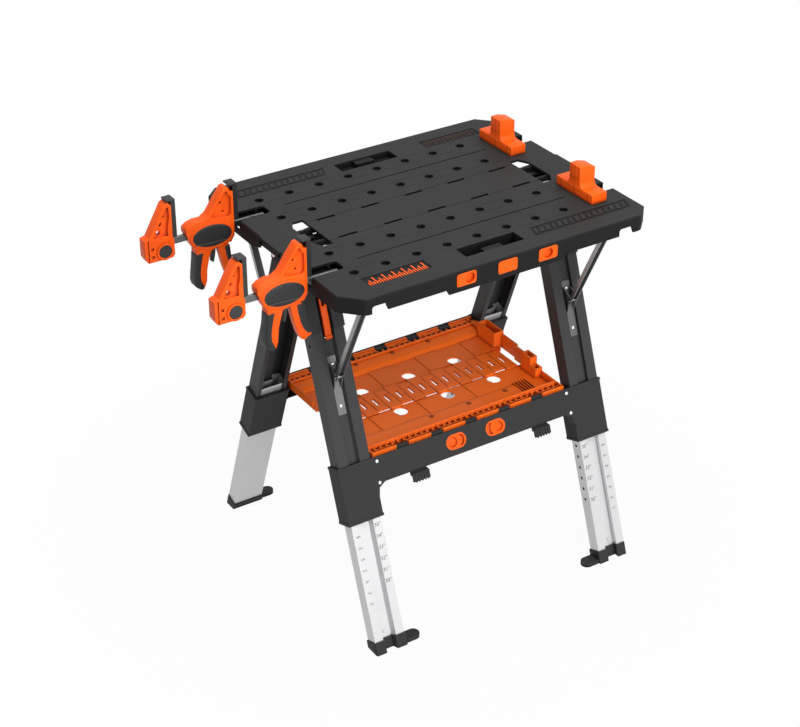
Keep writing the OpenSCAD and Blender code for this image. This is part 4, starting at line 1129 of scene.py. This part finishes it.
def soft_prism(shares, half, ease):
    """A rounded solid of an outline, centred on the clamp."""
    return rounded(prism(sized(shares), -half, half), ease)


def clamp_overlays(end, at, badges):
    """Domed badges, handle grip and jaw pad, which stand for the plain grips, the badges' trim, and a painted
    highlight along each badge's crease.
    """
    housing = f"{end}_clamp_housing"
    badge = cushioned(badge_outline(0), -CLAMP_FACE, BADGE_DOME)
    rim = cushioned(badge_outline(BADGE_RIM_WIDE), -CLAMP_FACE, BADGE_RIM)
    # A lighter grey strip along the crease of each badge: a painted highlight.
    low, high = ((x, -CLAMP_FACE - y, z) for x, y, z in CREASE)
    crease = block(low, high)
    crease.transform(Matrix.Rotation(BADGE_TILT, 4, "Y"))
    parts = [(badge, spot) for spot in badges]
    parts.append((soft_prism(HANDLE_SHARES, CLAMP_FACE + GRIP_PROUD, GRIP_ROUND), at))
    parts.append((soft_prism(PAD_SHARES, CLAMP_FACE, PAD_ROUND), at))
    grips = joined(f"{end}_clamp_overlays", parts, housing, grip_black(), 50)
    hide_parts(f"{end}_clamp_grips")
    rims = [(rim, spot) for spot in badges]
    joined(f"{end}_badge_rim", rims, housing, skirt_orange(), 50)
    creases = [(crease, spot) for spot in badges]
    joined(f"{end}_badge_crease", creases, housing, crease_grey())


def clamp_grips(end, at):
    """What stands out from the plain housing, trigger and end jaw of one clamp."""
    middle = Matrix.Translation((BADGE_SHARES[0] * CLAMP_SIZE, 0, BADGE_SHARES[1] * CLAMP_SIZE))
    clamp_overlays(end, at, [at @ turn @ middle for turn in (HERE, FRONT_TO_BACK)])
    finger = soft_prism(FINGER_SHARES, FINGER_HALF, FINGER_ROUND)
    joined(f"{end}_trigger_overlay", [(finger, at)], f"{end}_clamp_trigger", grip_black(), 50)
    end_pad = soft_prism(END_PAD_SHARES, CLAMP_FACE, PAD_ROUND)
    pad_piece = joined(f"{end}_end_pad_shaped", [(end_pad, at)], f"{end}_clamp", rubber(), 50)
    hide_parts(f"{end}_clamp_end_pad")
    boss = grown(sleeve_tree, skirt_orange(), start=(0, 0, 0), **BOSS)
    x, z = BUTTON_SHARES
    spot = Matrix.Translation((x * CLAMP_SIZE, -CLAMP_FACE - BOSS_PROUD, z * CLAMP_SIZE)) @ UPRIGHT
    joined(f"{end}_button_boss", [(boss, at @ spot)], f"{end}_clamp", skirt_orange(), 50)


class WORKBENCH_OT_clamps(bpy.types.Operator):
    """Finish the two bar clamps"""

    bl_idname = "workbench.clamps"
    bl_label = "Clamps"

    def execute(self, context):
        for end, side in (("front", -1), ("rear", 1)):
            at = Matrix.Translation((CLAMP_X, side * CLAMP_Y, CLAMP_Z))
            clamp = f"{end}_clamp"
            orange = skirt_orange()
            paint(bar_steel(), f"{clamp}_bar")
            paint(rubber(), f"{clamp}_button", f"{clamp}_release")
            eased(f"{clamp}_housing", 0.0013, orange, f"{clamp}_housing", clamp_cuts(at))
            eased(f"{clamp}_trigger", 0.0012, orange, f"{clamp}_trigger")
            eased(f"{clamp}_end_jaw", 0.0009, orange, clamp, end_cuts(at))
            clamp_grips(end, at)
        return {"FINISHED"}


# Camera fitted to the photo, floor and lamps. Each lamp: name, place, size and its power setting.
CAMERA_AT = (-2.0500, -3.0799, 2.6877)
CAMERA_WAY = (0.46443, 0.72092, -0.51437)
CAMERA_LENS = 83.31
SENSOR = 36.0
FLOOR_SIDE = 12.0
FLOOR_DARK = (0.40, 0.40, 0.40, 1)
FLOOR_LIGHT = (0.44, 0.44, 0.44, 1)
CLEAR_FROM = 0.7
CLEAR_OVER = 0.9
SEEN_SHARE = 0.965
LAMP_AIM = Vector((0, 0, 0.6))
LAMPS = (
    ("key_lamp", (0.9, -2.0, 3.6), 2.2, "key_power"),
    ("top_lamp", (-0.3, 0.5, 4.0), 3.0, "top_power"),
    ("low_lamp", (-0.2, -3.0, 1.3), 2.0, "low_power"),
)


def pale_floor():
    """Plain pale floor that keeps a soft shadow near the bench."""

    def build(nodes):
        place = nodes.place()
        far = nodes.add("ShaderNodeVectorMath", {"operation": "LENGTH"}, {0: place}, "Value")
        clear = ((far - CLEAR_FROM) / CLEAR_OVER).clamped()
        grain = nodes.noise(place, 180.0, 2.0)
        pale = nodes.mix(FLOOR_DARK, FLOOR_LIGHT, grain)
        matt = nodes.add("ShaderNodeBsdfDiffuse", {}, {"Color": pale}, "BSDF")
        glow = nodes.add("ShaderNodeEmission", {}, {"Color": (1, 1, 1, 1), "Strength": 1.0}, "Emission")
        seen = seen_rays(nodes) * (SEEN_SHARE + (1 - SEEN_SHARE) * clear)
        return nodes.add("ShaderNodeMixShader", {}, {0: seen, 1: matt, 2: glow})

    return finished("pale_floor", build)


def seen_rays(nodes):
    """1 for rays that come from the camera, a gloss or a clear part, and 0 for light."""
    camera = nodes.add("ShaderNodeLightPath", output="Is Camera Ray")
    gloss = nodes.add("ShaderNodeLightPath", output="Is Glossy Ray")
    clear = nodes.add("ShaderNodeLightPath", output="Is Transmission Ray")
    return camera.most(gloss).most(clear)


def soft_lamp(name, at, size, power):
    """A round lamp that faces the middle of the bench."""
    lamp = bpy.data.lights.new(name, "AREA")
    lamp.shape = "DISK"
    lamp.size = size
    lamp.energy = power
    holder = holding(name, lamp)
    holder.location = at
    holder.rotation_euler = (LAMP_AIM - Vector(at)).to_track_quat("-Z", "Y").to_euler()


def fitted_camera():
    """The camera that sees the bench as the photo does."""
    camera = bpy.data.cameras.new("camera")
    camera.lens = CAMERA_LENS
    camera.sensor_width = SENSOR
    camera.clip_end = 100.0
    holder = holding("camera", camera)
    holder.location = CAMERA_AT
    holder.rotation_euler = Vector(CAMERA_WAY).to_track_quat("-Z", "Y").to_euler()
    return holder


class WORKBENCH_OT_stage(bpy.types.Operator):
    """Set the floor, the light, the world and the camera"""

    bl_idname = "workbench.stage"
    bl_label = "Stage"

    def execute(self, context):
        scene = context.scene
        values = scene.workbench_stage
        half = FLOOR_SIDE / 2
        mesh = bpy.data.meshes.new("floor")
        mesh.from_pydata([(x, y, 0) for x, y in corners((-half, -half), (half, half))], [], [(0, 1, 2, 3)])
        mesh.materials.append(pale_floor())
        floor = holding("floor", mesh)
        world = bpy.data.worlds.new("studio")
        world.use_nodes = True
        nodes = Nodes(world.node_tree)
        strength = values.ambient + seen_rays(nodes) * (1.0 - values.ambient)
        even = {"Color": (1, 1, 1, 1), "Strength": strength}
        sky = nodes.add("ShaderNodeBackground", {}, even, "Background")
        nodes.add("ShaderNodeOutputWorld", {}, {"Surface": sky})
        scene.world = world
        for name, at, size, setting in LAMPS:
            soft_lamp(name, at, size, getattr(values, setting))
        scene.camera = fitted_camera()
        scene.view_settings.view_transform = "Standard"
        return {"FINISHED"}


def colour(name, description, default):
    """A colour on the panel."""
    return FloatVectorProperty(name=name, description=description, subtype="COLOR", size=3, min=0, max=1,
                               default=default)


def length(name, description, default):
    """A length on the panel."""
    return FloatProperty(name=name, description=description, unit="LENGTH", min=0, default=default)


def power(name, description, default):
    """A lamp's power on the panel."""
    return FloatProperty(name=name, description=description, unit="POWER", min=0, default=default)


class WorktopSettings(bpy.types.PropertyGroup):
    """Looks of the worktop"""

    black: colour("Black", "Colour of the moulded worktop", (0.024, 0.024, 0.024))
    orange: colour("Orange", "Colour of the orange mouldings", (0.90, 0.098, 0.004))
    tick_length: length("Dash", "Length of one ruler dash", TICK[0])
    lip: length("Lip", "Radius of the lip round a skirt insert", 0.0011)


class LegSettings(bpy.types.PropertyGroup):
    """Looks of the legs"""

    coat: colour("Coat", "Colour of the powder coat on the channels", (0.042, 0.042, 0.043))
    moulding: colour("Moulding", "Colour of the beam, collars, caps and feet", (0.030, 0.030, 0.030))
    aluminium: colour("Aluminium", "Colour of the inner legs", (0.60, 0.60, 0.61))
    number_height: length("Number", "Height of the numbers on the scale", 0.0125)


class StageSettings(bpy.types.PropertyGroup):
    """Light of the stage"""

    ambient: FloatProperty(name="Ambient", description="Strength of the studio's even light", min=0,
                           default=0.50)
    key_power: power("Key", "Power of the lamp in front", 70.0)
    top_power: power("Top", "Power of the lamp above", 60.0)
    low_power: power("Low", "Power of the low lamp in front", 60.0)


class WORKBENCH_PT_panel(bpy.types.Panel):
    """Lists the bench's groups of pieces"""

    bl_idname = "WORKBENCH_PT_panel"
    bl_label = "Folding workbench"
    bl_space_type = "VIEW_3D"
    bl_region_type = "UI"
    bl_category = "Workbench"

    def draw(self, context):
        for maker in MAKERS:
            self.layout.operator(maker.bl_idname)
        for settings in SETTINGS:
            held = getattr(context.scene, settings)
            for name in held.bl_rna.properties.keys():
                if name not in ("rna_type", "name"):
                    self.layout.prop(held, name)


MAKERS = (WORKBENCH_OT_worktop, WORKBENCH_OT_leg_frames, WORKBENCH_OT_inner_legs, WORKBENCH_OT_tray,
          WORKBENCH_OT_dogs, WORKBENCH_OT_clamps, WORKBENCH_OT_stage)
SETTINGS = {"workbench_top": WorktopSettings, "workbench_legs": LegSettings, "workbench_stage": StageSettings}


def register():
    """Add the settings, operators and panel."""
    for kind in (*SETTINGS.values(), *MAKERS, WORKBENCH_PT_panel):
        bpy.utils.register_class(kind)
    for name, kind in SETTINGS.items():
        setattr(bpy.types.Scene, name, PointerProperty(type=kind))


def unregister():
    """Take them away again."""
    for name in SETTINGS:
        delattr(bpy.types.Scene, name)
    for kind in reversed((*SETTINGS.values(), *MAKERS, WORKBENCH_PT_panel)):
        bpy.utils.unregister_class(kind)


def main():
    """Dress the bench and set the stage."""
    register()
    for maker in MAKERS:
        group, name = maker.bl_idname.split(".")
        getattr(getattr(bpy.ops, group), name)()


if __name__ == "__main__":
    main()
